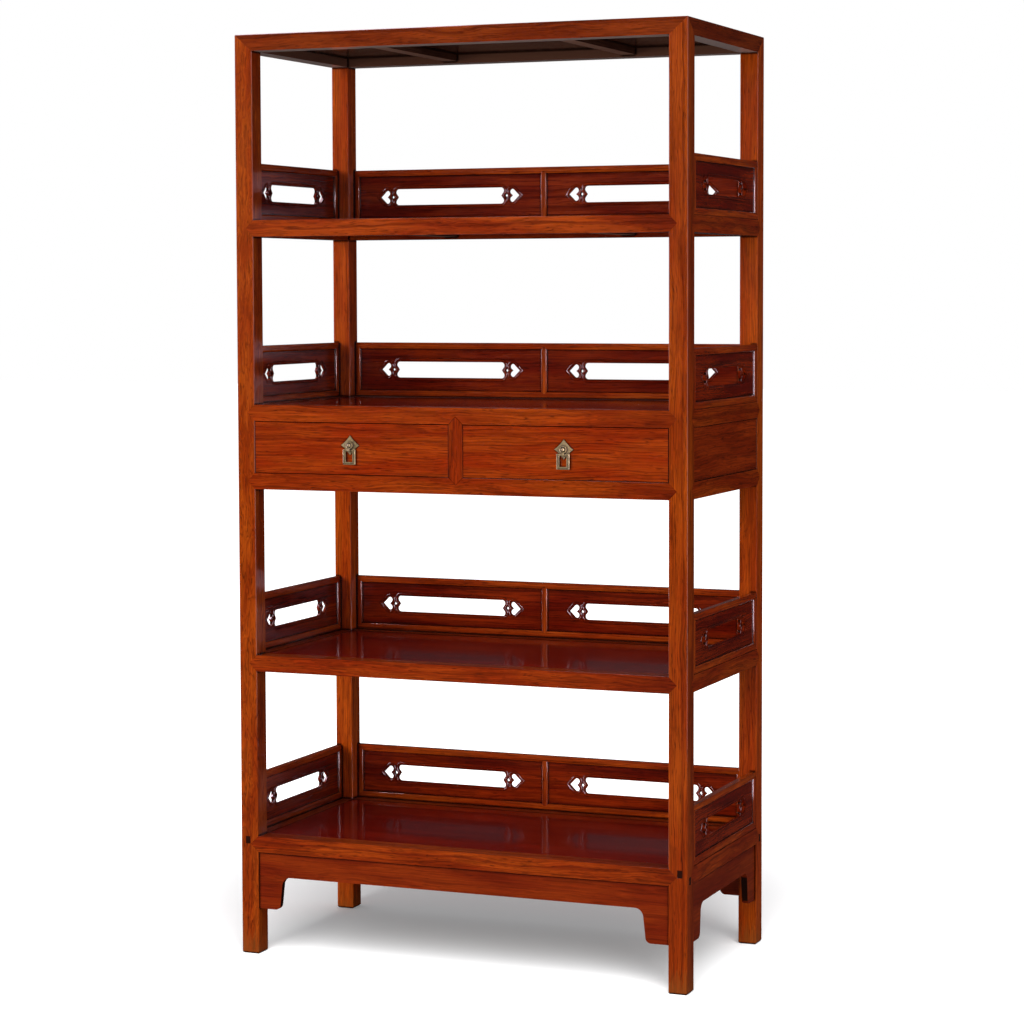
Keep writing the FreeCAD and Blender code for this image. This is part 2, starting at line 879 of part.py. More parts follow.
def left_drawer():
    """Left drawer: front, box sides and back, bottom, and its brass pull."""
    left = -inner_x + drawer_reveal
    right = -centre_stile_width / 2 - drawer_reveal
    middle = (left + right) / 2
    face = -half_depth + drawer_front_inset
    front_back = face + drawer_front_thickness
    front_low = drawer_floor_level + drawer_reveal
    front_high = drawer_floor_level + drawer_opening - drawer_reveal
    front = block(left, right, face, front_back, front_low, front_high)
    side_low = drawer_floor_level + drawer_rest_gap
    side_high = side_low + drawer_side_height
    box_back = face + drawer_length
    side_left = left + drawer_side_inset
    side_right = side_left + drawer_side_thickness
    side = block(side_left, side_right, front_back, box_back, side_low, side_high)
    tails = dovetails(side_left, side_right, front_low, side_high, front_back)
    left_side = fused([side] + tails)
    across = Vector(2 * middle, 0, 0)
    right_side = mirror_x(left_side).translated(across)
    inner_left = side_right
    inner_right = 2 * middle - side_right
    board_low = side_low + drawer_bottom_lift
    board_high = board_low + drawer_bottom_thickness
    bottom = block(
        inner_left - drawer_groove,
        inner_right + drawer_groove,
        front_back - drawer_groove,
        box_back,
        board_low,
        board_high,
    )
    back = block(
        inner_left - drawer_groove,
        inner_right + drawer_groove,
        box_back - 2 * drawer_side_thickness,
        box_back - drawer_side_thickness,
        board_high,
        board_high + drawer_back_height,
    )
    left_side = less(left_side, [bottom, back])
    right_side = less(right_side, [bottom, back])
    hole = leg_hole(middle)
    front = less(front, [left_side, right_side, bottom, hole])
    plate = pull_plate(middle).cut(hole)
    return {
        "drawer_front": [front],
        "drawer_box": [left_side, right_side, back],
        "drawer_bottom": [bottom],
        "pull_plate": [plate],
        "pull_pin": [pull_pin(middle)],
        "bail": [pull_bail(middle)],
    }


def build():
    """All the pieces of the bookshelf, each cut to let its neighbours in."""
    envelope = eased_case()
    levels = dict(shelf_levels, drawer_floor=drawer_floor_level)
    rails = {name: frame_rails(level, name == "bottom") for name, level in levels.items()}
    panels = {name: shelf_panel(level) for name, level in shelf_levels.items()}
    battens = {name: shelf_battens(level) for name, level in shelf_levels.items()}
    panels["top"] = shelf_panel(top_level)
    battens["top"] = shelf_battens(top_level)
    head_rails = top_rails(envelope)
    brackets = aprons()
    stile = centre_stile()
    back_wall = mirror_y(case_wall(inner_x, half_depth))
    right_wall = quarter_turn(case_wall(inner_y, half_width))
    walls = [back_wall, right_wall, mirror_x(right_wall)]
    board_top = drawer_floor_level - runner_height
    board_low = board_top - dust_board_thickness
    dust_board = floating_board(
        board_top, dust_board_thickness, panel_tongue, board_low, board_top
    )

    male_pieces = {name: [panels[name]] + battens[name] for name in shelf_levels}
    male_pieces["bottom"] = male_pieces["bottom"] + list(brackets.values())
    male_pieces["case_top"] = male_pieces["case_top"] + [stile] + walls
    male_pieces["drawer_floor"] = [dust_board, stile] + walls
    for name in levels:
        shaped = {side: less(rail, male_pieces[name]) for side, rail in rails[name].items()}
        add_node(name + "_front_rail", [shaped["front"]])
        add_node(name + "_rear_rail", [shaped["rear"]])
        add_node(name + "_side_rails", [shaped["left"], shaped["right"]])
    for name in shelf_levels:
        add_node(name + "_panel", [panels[name]])
        place_galleries(name, shelf_levels[name])

    post = plain_post(envelope)
    top_males = [panels["top"]] + battens["top"]
    posts = {
        "front_right": post,
        "front_left": mirror_x(post),
        "rear_right": mirror_y(post),
        "rear_left": mirror_x(mirror_y(post)),
    }
    let_in = walls + list(brackets.values())
    for frame in rails.values():
        let_in = let_in + list(frame.values())
    for name, plain in posts.items():
        add_node("post_" + name, [less(plain, let_in)])
    for side, rail in head_rails.items():
        head_rails[side] = less(rail, top_males + list(posts.values()))
    add_node("top_front_rail", [head_rails["front"]])
    add_node("top_rear_rail", [head_rails["rear"]])
    add_node("top_side_rails", [head_rails["left"], head_rails["right"]])
    add_node("top_panel", [panels["top"]])
    add_node("battens", [batten for pair in battens.values() for batten in pair])
    add_node("dust_board", [dust_board])
    add_node("centre_stile", [stile])
    add_node("case_back_panel", [back_wall])
    add_node("case_side_panels", walls[1:])
    add_node("drawer_tracks", drawer_tracks())
    add_node("apron_front", [brackets["front"]])
    add_node("apron_rear", [brackets["rear"]])
    add_node("apron_sides", [brackets["left"], brackets["right"]])

    for name, solids in left_drawer().items():
        add_node(name + "_left", solids)
        add_node(name + "_right", [mirror_x(solid) for solid in solids])


def write():
    """Write every node as one STEP file and print its size."""
    for name, solids in nodes.items():
        whole = Part.Compound(solids).translated(origin_shift)
        whole.exportStep(os.path.join("parts", name + ".step"))
        count = len(whole.Solids)
        print(name, count, "solids", round(whole.Volume), "mm3", whole.isValid())


build()
write()
print(len(nodes), "nodes, height", top_level, "origin shift", round(origin_shift.y, 3))
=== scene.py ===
"""Looks of an open Chinese bookshelf in polished rosewood.

Four posts carry framed shelves, pierced galleries and a case with two drawers that have brass
pulls.  Every size here is in metres, in the same frame as the construction: X to the right, Y to
the back, Z up, with the origin on the floor under the middle of the piece.
"""

import logging
import math
from collections.abc import Callable, Iterator
from contextlib import contextmanager
from dataclasses import dataclass, field, replace
from enum import Enum

import bmesh
import bpy
from mathutils import Matrix, Vector


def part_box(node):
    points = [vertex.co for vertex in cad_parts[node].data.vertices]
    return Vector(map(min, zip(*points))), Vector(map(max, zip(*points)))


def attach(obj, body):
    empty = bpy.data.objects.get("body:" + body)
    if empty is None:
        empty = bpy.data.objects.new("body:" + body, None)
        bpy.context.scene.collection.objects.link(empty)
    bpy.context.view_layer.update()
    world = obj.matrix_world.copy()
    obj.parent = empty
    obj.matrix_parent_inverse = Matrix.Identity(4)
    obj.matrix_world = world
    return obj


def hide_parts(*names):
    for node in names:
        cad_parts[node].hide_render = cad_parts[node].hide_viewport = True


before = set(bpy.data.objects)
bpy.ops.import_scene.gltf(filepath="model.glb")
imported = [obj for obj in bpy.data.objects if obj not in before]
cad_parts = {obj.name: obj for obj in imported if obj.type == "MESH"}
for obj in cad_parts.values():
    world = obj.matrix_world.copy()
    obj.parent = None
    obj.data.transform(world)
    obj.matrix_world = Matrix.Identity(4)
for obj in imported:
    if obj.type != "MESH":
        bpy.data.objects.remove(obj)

MM = 0.001
LOG = logging.getLogger("bookshelf")
LEVELS = ("bottom", "middle", "case_top", "upper")
FRAME_NAMES = LEVELS + ("drawer_floor",)
SIDES = ("left", "right")
WHITE = (1.0, 1.0, 1.0, 1.0)
# Two places this near to each other count as one.
TOUCH = MM / 10
# Edges sharper than the first angle are eased, and gentler ones than the second look round.
SHARP_EDGE = math.radians(40)
ROUND_EDGE = math.radians(38)

Colour = tuple[float, float, float, float]
Socket = bpy.types.NodeSocket
Test = Callable[[Vector], bool]


class Grain(Enum):
    """Axis of the object that a board's grain runs along."""

    ACROSS = 0
    DEEP = 1
    UPRIGHT = 2


def linear(code: str) -> Colour:
    """Turn an sRGB hex colour into the linear colour that a shader reads.

    Args:
        code: Six hex digits, such as "8f3a0c".

    Returns:
        Linear red, green and blue, and an alpha of one.
    """
    shares = [int(code[at:at + 2], 16) / 255 for at in (0, 2, 4)]
    low_end = 0.04045
    curved = [s / 12.92 if s <= low_end else ((s + 0.055) / 1.055) ** 2.4 for s in shares]
    return (curved[0], curved[1], curved[2], 1.0)


def add(tree: bpy.types.NodeTree, kind: str, sockets: dict | None = None, **settings) -> Socket:
    """Add a shader node, set it up and join its inputs.

    Args:
        tree: Node tree of the material or the world.
        kind: Type name of the node.
        sockets: Input name or number, with a value or the output socket that feeds it.
        settings: Properties of the node itself.

    Returns:
        The first output of the node that is in use, from which `.node` gives the rest.
    """
    made = tree.nodes.new(kind)
    for name, value in settings.items():
        setattr(made, name, value)
    for key, value in (sockets or {}).items():
        if isinstance(value, Socket):
            tree.links.new(value, made.inputs[key])
        else:
            made.inputs[key].default_value = value
    shown = [output for output in made.outputs if output.enabled]
    return shown[0] if shown else None


def blank_tree(material: bpy.types.Material) -> bpy.types.NodeTree:
    """Give a material an empty node tree.

    Args:
        material: Material to clear.

    Returns:
        Its node tree, with no node in it.
    """
    material.use_nodes = True
    material.node_tree.nodes.clear()
    return material.node_tree


def per_size(size_mm: tuple[float, float]) -> tuple[float, float, float]:
    """Scale that gives a pattern's cell one length along the grain and one width across it."""
    length, width = size_mm
    return (1 / length, 1 / width, 1 / width)


# Rosewood, planed, scraped and waxed: it gives long dark streaks and cloudy patches on a warm
# ground, fine broken fibres and pores along the grain, a soft clear gloss, and old wax and soiling
# that stay dark in the corners and along the joints, where painted shade darkens them as well.
@dataclass(frozen=True)
class WoodFinish:
    """Colours, figure and polish of one kind of board."""

    name: str
    pale: str
    mid: str
    dark: str
    vein: str
    end: str
    # Painted colour of downward faces: their shade, and where it is pale a painted reflection.
    under: str
    # Colour of old wax and soiling in corners and joints, which is also the painted shade there.
    grime_and_shade: str = "1a0703"
    ring_mm: float = 9.0
    pith_mm: tuple[float, float] = (58.0, 37.0)
    warp_mm: float = 9.0
    warp_size_mm: tuple[float, float] = (230.0, 46.0)
    curl_mm: float = 2.5
    curl_size_mm: tuple[float, float] = (58.0, 21.0)
    swell: float = 1.6
    knot_mm: tuple[float, float] = (420.0, 95.0)
    patch_mm: tuple[float, float] = (240.0, 34.0)
    fibre_mm: tuple[float, float] = (150.0, 2.1)
    pore_mm: tuple[float, float] = (24.0, 1.7)
    lines_per_ring: float = 1.9
    streak_share: float = 0.6
    line_share: float = 0.5
    fibre_share: float = 0.36
    pore_share: float = 0.6
    # Strength and reach of the occlusion darkening: soiling and painted shade in corners and
    # joints.
    grime_and_shade_share: float = 0.88
    grime_and_shade_mm: float = 5.0
    roughness: float = 0.3
    specular: float = 0.01
    coat: float = 0.6
    coat_roughness: float = 0.12
    seed_mm: float = 0.0
    heart_mm: float | None = None
    heart_reach_mm: float = 140.0
    # Painted shade for upright faces turned towards the middle of the piece.
    inner: str | None = None
    foot_wear: str | None = None
    foot_wear_mm: float = 45.0
    foot_fade_mm: float = 22.0
    foot_wear_share: float = 0.5
    frays_per_metre: float = 150.0
    relief_mm: float = 0.2
    relief_share: float = 0.1
    ior: float = 1.45

    def made(self, grain: Grain) -> bpy.types.Material:
        """Make the material for boards whose grain runs one way, or find it if it exists.

        Args:
            grain: Axis that the grain follows.

        Returns:
            The material.
        """
        title = f"{self.name}_{grain.name.lower()}"
        known = bpy.data.materials.get(title)
        if known:
            return known
        material = bpy.data.materials.new(title)
        tree = blank_tree(material)
        place = add(tree, "ShaderNodeTexCoord").node
        along = self.along(tree, place.outputs["Object"], grain)
        warped = self.warped(tree, along)
        radius = self.rings(tree, along, warped)
        ground = self.ground(tree, along, radius)
        colour, relief = self.fibres(tree, warped, radius, ground)
        colour = self.faces(tree, place, grain, colour)
        colour = self.grimed_and_shaded(tree, colour)
        self.surface(tree, colour, relief)
        return material

    def along(self, tree: bpy.types.NodeTree, place: Socket, grain: Grain) -> Socket:
        """Turn the object's coordinates to millimetres, with the grain along the first one.

        Args:
            tree: Node tree.
            place: Object coordinates.
            grain: Axis that the grain follows.

        Returns:
            The turned coordinates.
        """
        parts = add(tree, "ShaderNodeSeparateXYZ", {0: place}).node.outputs
        order = (grain.value, (grain.value + 1) % 3, (grain.value + 2) % 3)
        turns = {at: parts[axis] for at, axis in enumerate(order)}
        turned = add(tree, "ShaderNodeCombineXYZ", turns)
        per_mm = (1 / MM,) * 3
        sized = add(tree, "ShaderNodeVectorMath", {0: turned, 1: per_mm}, operation="MULTIPLY")
        shift = (self.seed_mm, self.seed_mm, self.seed_mm)
        return add(tree, "ShaderNodeVectorMath", {0: sized, 1: shift}, operation="ADD")

    def noise(
        self, tree: bpy.types.NodeTree, place: Socket, size_mm: tuple[float, float], detail: float
    ) -> bpy.types.Node:
        """Noise whose blotches are drawn out along the grain.

        Args:
            tree: Node tree.
            place: Coordinates in millimetres, with the grain along the first one.
            size_mm: Length and width of a blotch in millimetres.
            detail: Finer layers of noise.

        Returns:
            The noise node, with its value first and its colour second.
        """
        drawn = add(
            tree, "ShaderNodeVectorMath", {0: place, 1: per_size(size_mm)}, operation="MULTIPLY"
        )
        sockets = {"Vector": drawn, "Scale": 1.0, "Detail": detail}
        return add(tree, "ShaderNodeTexNoise", sockets).node

    def warped(self, tree: bpy.types.NodeTree, along: Socket) -> Socket:
        """Coordinates pushed sideways, so that the grain wanders and curls as it grew.

        Args:
            tree: Node tree.
            along: Coordinates in millimetres, with the grain along the first one.

        Returns:
            The pushed coordinates.
        """
        pushed = along
        middle = (0.5, 0.5, 0.5)
        steps = ((self.warp_size_mm, self.warp_mm), (self.curl_size_mm, self.curl_mm))
        for size_mm, reach_mm in steps:
            slow = self.noise(tree, along, size_mm, 2.0).outputs[1]
            centred = add(tree, "ShaderNodeVectorMath", {0: slow, 1: middle}, operation="SUBTRACT")
            reach = (0.0, 2 * reach_mm, 2 * reach_mm)
            push = add(tree, "ShaderNodeVectorMath", {0: centred, 1: reach}, operation="MULTIPLY")
            pushed = add(tree, "ShaderNodeVectorMath", {0: pushed, 1: push}, operation="ADD")
        return pushed

    def rings(self, tree: bpy.types.NodeTree, along: Socket, warped: Socket) -> Socket:
        """Distance from the pith, counted in growth rings and swollen by a few knots.

        Args:
            tree: Node tree.
            along: Coordinates in millimetres.
            warped: The same coordinates, pushed sideways.

        Returns:
            Number of rings from the pith.
        """
        flat = (0.0, 1 / self.ring_mm, 1 / self.ring_mm)
        pith = (0.0, self.pith_mm[0] / self.ring_mm, self.pith_mm[1] / self.ring_mm)
        rings = add(
            tree, "ShaderNodeVectorMath", {0: warped, 1: flat, 2: pith}, operation="MULTIPLY_ADD"
        )
        radius = add(tree, "ShaderNodeVectorMath", {0: rings}, operation="LENGTH").node.outputs[1]
        per_knot = per_size(self.knot_mm)
        knot_place = add(
            tree, "ShaderNodeVectorMath", {0: along, 1: per_knot}, operation="MULTIPLY"
        )
        knots = add(tree, "ShaderNodeTexVoronoi", {"Vector": knot_place, "Scale": 1.0}).node
        swell = add(
            tree,
            "ShaderNodeMapRange",
            {0: knots.outputs["Distance"], 1: 0.0, 2: 0.3, 3: self.swell, 4: 0.0},
            interpolation_type="SMOOTHERSTEP",
        )
        return add(tree, "ShaderNodeMath", {0: radius, 1: swell}, operation="ADD")

    def ground(self, tree: bpy.types.NodeTree, along: Socket, radius: Socket) -> Socket:
        """Broad colour of a board: cloudy patches, and darker streaks cut from the rings.

        Args:
            tree: Node tree.
            along: Coordinates in millimetres.
            radius: Number of rings from the pith.

        Returns:
            The colour.
        """
        cloud = self.noise(tree, along, self.patch_mm, 3.0).outputs[0]
        paler = add(
            tree,
            "ShaderNodeMapRange",
            {0: cloud, 1: 0.36, 2: 0.66},
            interpolation_type="SMOOTHSTEP",
        )
        warm = add(
            tree,
            "ShaderNodeMix",
            {0: paler, 6: linear(self.mid), 7: linear(self.pale)},
            data_type="RGBA",
        )
        streak = add(
            tree,
            "ShaderNodeTexNoise",
            {"W": radius, "Scale": 1.0, "Detail": 5.0, "Roughness": 0.7},
            noise_dimensions="1D",
        )
        depth = add(
            tree,
            "ShaderNodeMapRange",
            {0: streak, 1: 0.56, 2: 0.32, 3: 0.0, 4: self.streak_share},
            interpolation_type="SMOOTHSTEP",
        )
        if self.heart_mm is not None:
            depth = self.heart(tree, along, cloud, depth)
        shares = {0: depth, 6: warm, 7: linear(self.dark)}
        return add(tree, "ShaderNodeMix", shares, data_type="RGBA")

    def heart(
        self, tree: bpy.types.NodeTree, along: Socket, cloud: Socket, depth: Socket
    ) -> Socket:
        """Darker heartwood from one place along the grain on.

        Args:
            tree: Node tree.
            along: Coordinates in millimetres.
            cloud: Noise of the cloudy patches.
            depth: Share of the dark colour without the heartwood.

        Returns:
            Share of the dark colour.
        """
        length = add(tree, "ShaderNodeSeparateXYZ", {0: along})
        start = self.heart_mm + self.seed_mm
        reach = add(
            tree, "ShaderNodeMapRange", {0: length, 1: start, 2: start + self.heart_reach_mm}
        )
        ragged = add(tree, "ShaderNodeMapRange", {0: cloud, 1: 0.3, 2: 0.55, 3: 1.0, 4: 0.5})
        heart = add(tree, "ShaderNodeMath", {0: reach, 1: ragged}, operation="MULTIPLY")
        return add(tree, "ShaderNodeMath", {0: depth, 1: heart}, operation="MAXIMUM")

    def fibres(
        self, tree: bpy.types.NodeTree, warped: Socket, radius: Socket, ground: Socket
    ) -> tuple[Socket, Socket]:
        """Draw thin growth lines, fibres and pores over the ground of a board.

        The fibres and pores of the real wood are finer than the render can show, so they are
        drawn about three times as wide.

        Args:
            tree: Node tree.
            warped: Coordinates in millimetres, pushed sideways.
            radius: Number of rings from the pith.
            ground: Broad colour of the board.

        Returns:
            The colour and the relief.
        """
        fibre = self.noise(tree, warped, self.fibre_mm, 2.0).outputs[0]
        finer = add(
            tree, "ShaderNodeMath", {0: radius, 1: self.lines_per_ring}, operation="MULTIPLY"
        )
        growth = add(
            tree,
            "ShaderNodeTexNoise",
            {"W": finer, "Scale": 1.0, "Detail": 3.0, "Roughness": 0.6},
            noise_dimensions="1D",
        )
        off = add(tree, "ShaderNodeMath", {0: growth, 1: 0.5}, operation="SUBTRACT")
        near = add(tree, "ShaderNodeMath", {0: off}, operation="ABSOLUTE")
        thin = add(
            tree, "ShaderNodeMapRange", {0: near, 1: 0.05, 2: 0.0, 3: 0.0, 4: self.line_share}
        )
        broken = add(tree, "ShaderNodeMapRange", {0: fibre, 1: 0.62, 2: 0.36, 3: 0.1, 4: 1.0})
        lines = add(tree, "ShaderNodeMath", {0: thin, 1: broken}, operation="MULTIPLY")
        lined = add(
            tree, "ShaderNodeMix", {0: lines, 6: ground, 7: linear(self.vein)}, data_type="RGBA"
        )
        shade = add(
            tree,
            "ShaderNodeMapRange",
            {0: fibre, 1: 0.28, 2: 0.72, 3: 1 - self.fibre_share, 4: 1 + 0.8 * self.fibre_share},
        )
        fibred = add(tree, "ShaderNodeVectorMath", {0: lined, "Scale": shade}, operation="SCALE")
        pore = self.noise(tree, warped, self.pore_mm, 1.0).outputs[0]
        pores = add(
            tree, "ShaderNodeMapRange", {0: pore, 1: 0.61, 2: 0.72, 3: 0.0, 4: self.pore_share}
        )
        pored = add(
            tree, "ShaderNodeMix", {0: pores, 6: fibred, 7: linear(self.vein)}, data_type="RGBA"
        )
        relief = add(tree, "ShaderNodeMath", {0: fibre, 1: pores}, operation="SUBTRACT")
        return pored, relief

    def faces(
        self, tree: bpy.types.NodeTree, place: bpy.types.Node, grain: Grain, colour: Socket
    ) -> Socket:
        """Darken end grain, paint shade onto downward faces and inner faces, with a pale underside
        colour painting a reflection instead, and wear the feet.

        Args:
            tree: Node tree.
            place: Texture coordinate node of the material.
            grain: Axis that the grain follows.
            colour: Colour of a long face.

        Returns:
            The colour of every face.
        """
        normal = add(tree, "ShaderNodeSeparateXYZ", {0: place.outputs["Normal"]}).node.outputs
        facing = add(tree, "ShaderNodeMath", {0: normal[grain.value]}, operation="ABSOLUTE")
        ends = add(tree, "ShaderNodeMapRange", {0: facing, 1: 0.85, 2: 0.95})
        colour = add(
            tree, "ShaderNodeMix", {0: ends, 6: colour, 7: linear(self.end)}, data_type="RGBA"
        )
        # Downward faces take the painted underside colour: shade, and where it is pale a painted
        # reflection.
        painted_underside_mask = add(tree, "ShaderNodeMapRange", {0: normal[2], 1: -0.8, 2: -0.95})
        colour = add(
            tree, "ShaderNodeMix", {0: painted_underside_mask, 6: colour, 7: linear(self.under)}, data_type="RGBA"
        )
        # Upright faces turned towards the middle of the piece get painted shade.
        if self.inner is not None:
            inward = add(
                tree,
                "ShaderNodeVectorMath",
                {0: place.outputs["Normal"], 1: place.outputs["Object"]},
                operation="DOT_PRODUCT",
            ).node.outputs[1]
            flat = add(tree, "ShaderNodeMath", {0: normal[2]}, operation="ABSOLUTE")
            level = add(tree, "ShaderNodeMapRange", {0: flat, 1: 0.5, 2: 0.3})
            turned = add(tree, "ShaderNodeMapRange", {0: inward, 1: -0.02, 2: -0.06})
            inside = add(tree, "ShaderNodeMath", {0: level, 1: turned}, operation="MULTIPLY")
            shares = {0: inside, 6: colour, 7: linear(self.inner)}
            colour = add(tree, "ShaderNodeMix", shares, data_type="RGBA")
        if self.foot_wear is None:
            return colour
        height = add(tree, "ShaderNodeSeparateXYZ", {0: place.outputs["Object"]}).node.outputs[2]
        streaky = add(
            tree,
            "ShaderNodeVectorMath",
            {0: place.outputs["Object"], 1: (1.0, 1.0, 0.2)},
            operation="MULTIPLY",
        )
        sockets = {"Vector": streaky, "Scale": self.frays_per_metre, "Detail": 4.0}
        ragged = add(tree, "ShaderNodeTexNoise", sockets)
        reach = self.foot_wear_mm * MM
        fade = self.foot_fade_mm * MM
        edge = add(
            tree,
            "ShaderNodeMath",
            {0: ragged, 1: 2.4 * reach, 2: -0.6 * reach},
            operation="MULTIPLY_ADD",
        )
        above = add(tree, "ShaderNodeMath", {0: height, 1: edge}, operation="SUBTRACT")
        worn = add(
            tree,
            "ShaderNodeMapRange",
            {0: above, 1: fade, 2: -fade, 3: 0.0, 4: self.foot_wear_share},
        )
        return add(
            tree, "ShaderNodeMix", {0: worn, 6: colour, 7: linear(self.foot_wear)}, data_type="RGBA"
        )

    def grimed_and_shaded(self, tree: bpy.types.NodeTree, colour: Socket) -> Socket:
        """Darken the inner corners and joints by how hidden they are: old wax and soiling, and
        painted shade where the faces hide each other.

        Args:
            tree: Node tree.
            colour: Colour of every face.

        Returns:
            The colour with its grime.
        """
        # Ambient occlusion paints shade into the corners and joints, and also stands for old wax
        # and soiling there.
        hidden = add(
            tree, "ShaderNodeAmbientOcclusion", {"Distance": self.grime_and_shade_mm * MM}, samples=4
        ).node.outputs["AO"]
        grime_and_shade = add(
            tree, "ShaderNodeMapRange", {0: hidden, 1: 0.98, 2: 0.78, 3: 0.0, 4: self.grime_and_shade_share}
        )
        return add(
            tree, "ShaderNodeMix", {0: grime_and_shade, 6: colour, 7: linear(self.grime_and_shade)}, data_type="RGBA"
        )

    def surface(self, tree: bpy.types.NodeTree, colour: Socket, relief: Socket) -> None:
        """Waxed surface with a faint relief of fibres and pores.

        Args:
            tree: Node tree.
            colour: Colour of every face.
            relief: Relief of fibres and pores.
        """
        rough = add(
            tree,
            "ShaderNodeMapRange",
            {0: relief, 1: 0.0, 2: 1.0, 3: self.roughness + 0.06, 4: self.roughness - 0.03},
        )
        depth = self.relief_mm * MM
        sockets = {"Strength": self.relief_share, "Distance": depth, "Height": relief}
        bump = add(tree, "ShaderNodeBump", sockets)
        shader = add(
            tree,
            "ShaderNodeBsdfPrincipled",
            {
                "Base Color": colour,
                "Roughness": rough,
                "Normal": bump,
                "Specular IOR Level": self.specular,
                "Coat Weight": self.coat,
                "Coat Roughness": self.coat_roughness,
                "IOR": self.ior,
            },
        )
        add(tree, "ShaderNodeOutputMaterial", {0: shader})


# Brass cast and filed, then darkened by age: a dull olive skin, with the metal rubbed bright
# where fingers and the bail touch it, and old soiling with painted shade where the parts hide each
# other.
@dataclass(frozen=True)
class BrassFinish:
    """Colours and wear of the aged brass."""

    name: str = "aged_brass"
    skin: str = "665836"
    bright: str = "a39062"
    dirt_and_shade: str = "1c160c"
    metallic: float = 0.35
    roughness: float = 0.42
    grime_and_shade_mm: float = 3.0
    patches_per_metre: float = 140.0
    pits_per_metre: float = 700.0
    pit_mm: float = 0.3

    def made(self) -> bpy.types.Material:
        """Make the material.

        Returns:
            The material.
        """
        material = bpy.data.materials.new(self.name)
        tree = blank_tree(material)
        place = add(tree, "ShaderNodeTexCoord").node.outputs["Object"]
        sockets = {"Vector": place, "Scale": self.patches_per_metre, "Detail": 4.0}
        cloud = add(tree, "ShaderNodeTexNoise", sockets)
        patches = add(tree, "ShaderNodeMapRange", {0: cloud, 1: 0.35, 2: 0.68})
        colour = add(
            tree,
            "ShaderNodeMix",
            {0: patches, 6: linear(self.skin), 7: linear(self.bright)},
            data_type="RGBA",
        )
        # Ambient occlusion paints shade where the parts hide each other, and stands for old soiling
        # there too.
        hidden = add(
            tree, "ShaderNodeAmbientOcclusion", {"Distance": self.grime_and_shade_mm * MM}, samples=6
        ).node.outputs["AO"]
        grime_and_shade = add(tree, "ShaderNodeMapRange", {0: hidden, 1: 0.95, 2: 0.6, 3: 0.0, 4: 0.9})
        colour = add(
            tree, "ShaderNodeMix", {0: grime_and_shade, 6: colour, 7: linear(self.dirt_and_shade)}, data_type="RGBA"
        )
        sockets = {"Vector": place, "Scale": self.pits_per_metre, "Detail": 3.0}
        pits = add(tree, "ShaderNodeTexNoise", sockets)
        rough = add(
            tree,
            "ShaderNodeMapRange",
            {0: cloud, 1: 0.3, 2: 0.7, 3: self.roughness + 0.14, 4: self.roughness - 0.06},
        )
        depth = self.pit_mm * MM
        bump = add(tree, "ShaderNodeBump", {"Strength": 0.3, "Distance": depth, "Height": pits})
        shader = add(
            tree,
            "ShaderNodeBsdfPrincipled",
            {"Base Color": colour, "Roughness": rough, "Normal": bump, "Metallic": self.metallic},
        )
        add(tree, "ShaderNodeOutputMaterial", {0: shader})
        return material


POST_WOOD = WoodFinish(
    name="waxed_rosewood_post",
    pale="a5450b",
    mid="903206",
    dark="661c05",
    vein="300f04",
    end="26100a",
    under="7a4a22",
    foot_wear="8c5020",
)
BURR_POST_WOOD = replace(
    POST_WOOD,
    name="waxed_rosewood_curly_post",
    curl_mm=7.0,
    swell=2.6,
    patch_mm=(120.0, 30.0),
    seed_mm=377.0,
)
REAR_POST_WOOD = replace(
    POST_WOOD,
    name="waxed_rosewood_rear_post",
    pale="bc4f0d",
    mid="a63a08",
    dark="7c2a06",
    streak_share=0.45,
    seed_mm=1873.0,
)
RAIL_WOOD = WoodFinish(
    name="waxed_rosewood_rail",
    pale="a03e0b",
    mid="8a2a06",
    dark="601805",
    vein="2a0c04",
    end="2a1009",
    under="5c3a2e",
    pith_mm=(40.0, 66.0),
    warp_mm=13.0,
    curl_mm=3.5,
    seed_mm=731.0,
    heart_mm=270.0,
)
STILE_WOOD = replace(RAIL_WOOD, name="waxed_rosewood_stile", heart_mm=None)
TOP_RAIL_WOOD = replace(
    RAIL_WOOD,
    name="waxed_rosewood_top_rail",
    pale="86340b",
    mid="702405",
    dark="501404",
    # Pale painted reflection on the downward faces, and painted shade on the faces turned to the
    # middle.
    under="b8a49a",
    inner="6a4838",
    seed_mm=911.0,
    heart_mm=None,
)
SHELF_WOOD = WoodFinish(
    name="polished_rosewood_shelf",
    pale="98180a",
    mid="820d06",
    dark="560804",
    vein="240604",
    end="26100a",
    under="5e3e2e",
    ring_mm=13.0,
    pith_mm=(120.0, 90.0),
    warp_mm=14.0,
    pore_share=0.25,
    roughness=0.2,
    specular=0.03,
    coat=0.6,
    coat_roughness=0.09,
    seed_mm=1409.0,
)
SOFFIT_WOOD = WoodFinish(
    name="oiled_rosewood_batten",
    pale="5a3a2c",
    mid="46281c",
    dark="2e1610",
    vein="180a06",
    end="1c0d08",
    # Pale painted reflection on the downward faces of the battens and the dust board.
    under="94705c",
    roughness=0.34,
    coat=0.1,
    seed_mm=2210.0,
)
GALLERY_WOOD = WoodFinish(
    name="polished_rosewood_gallery",
    pale="b04810",
    mid="963008",
    dark="661905",
    vein="280804",
    end="26100a",
    under="35140a",
    ring_mm=7.0,
    warp_mm=8.0,
    roughness=0.22,
    coat=0.7,
    seed_mm=3307.0,
)
PIERCED_WOOD = WoodFinish(
    name="polished_rosewood_pierced",
    pale="8c2a08",
    mid="6a1404",
    dark="400903",
    vein="240604",
    end="2a0c06",
    under="35140a",
    warp_mm=9.0,
    roughness=0.22,
    coat=0.7,
    seed_mm=4133.0,
)
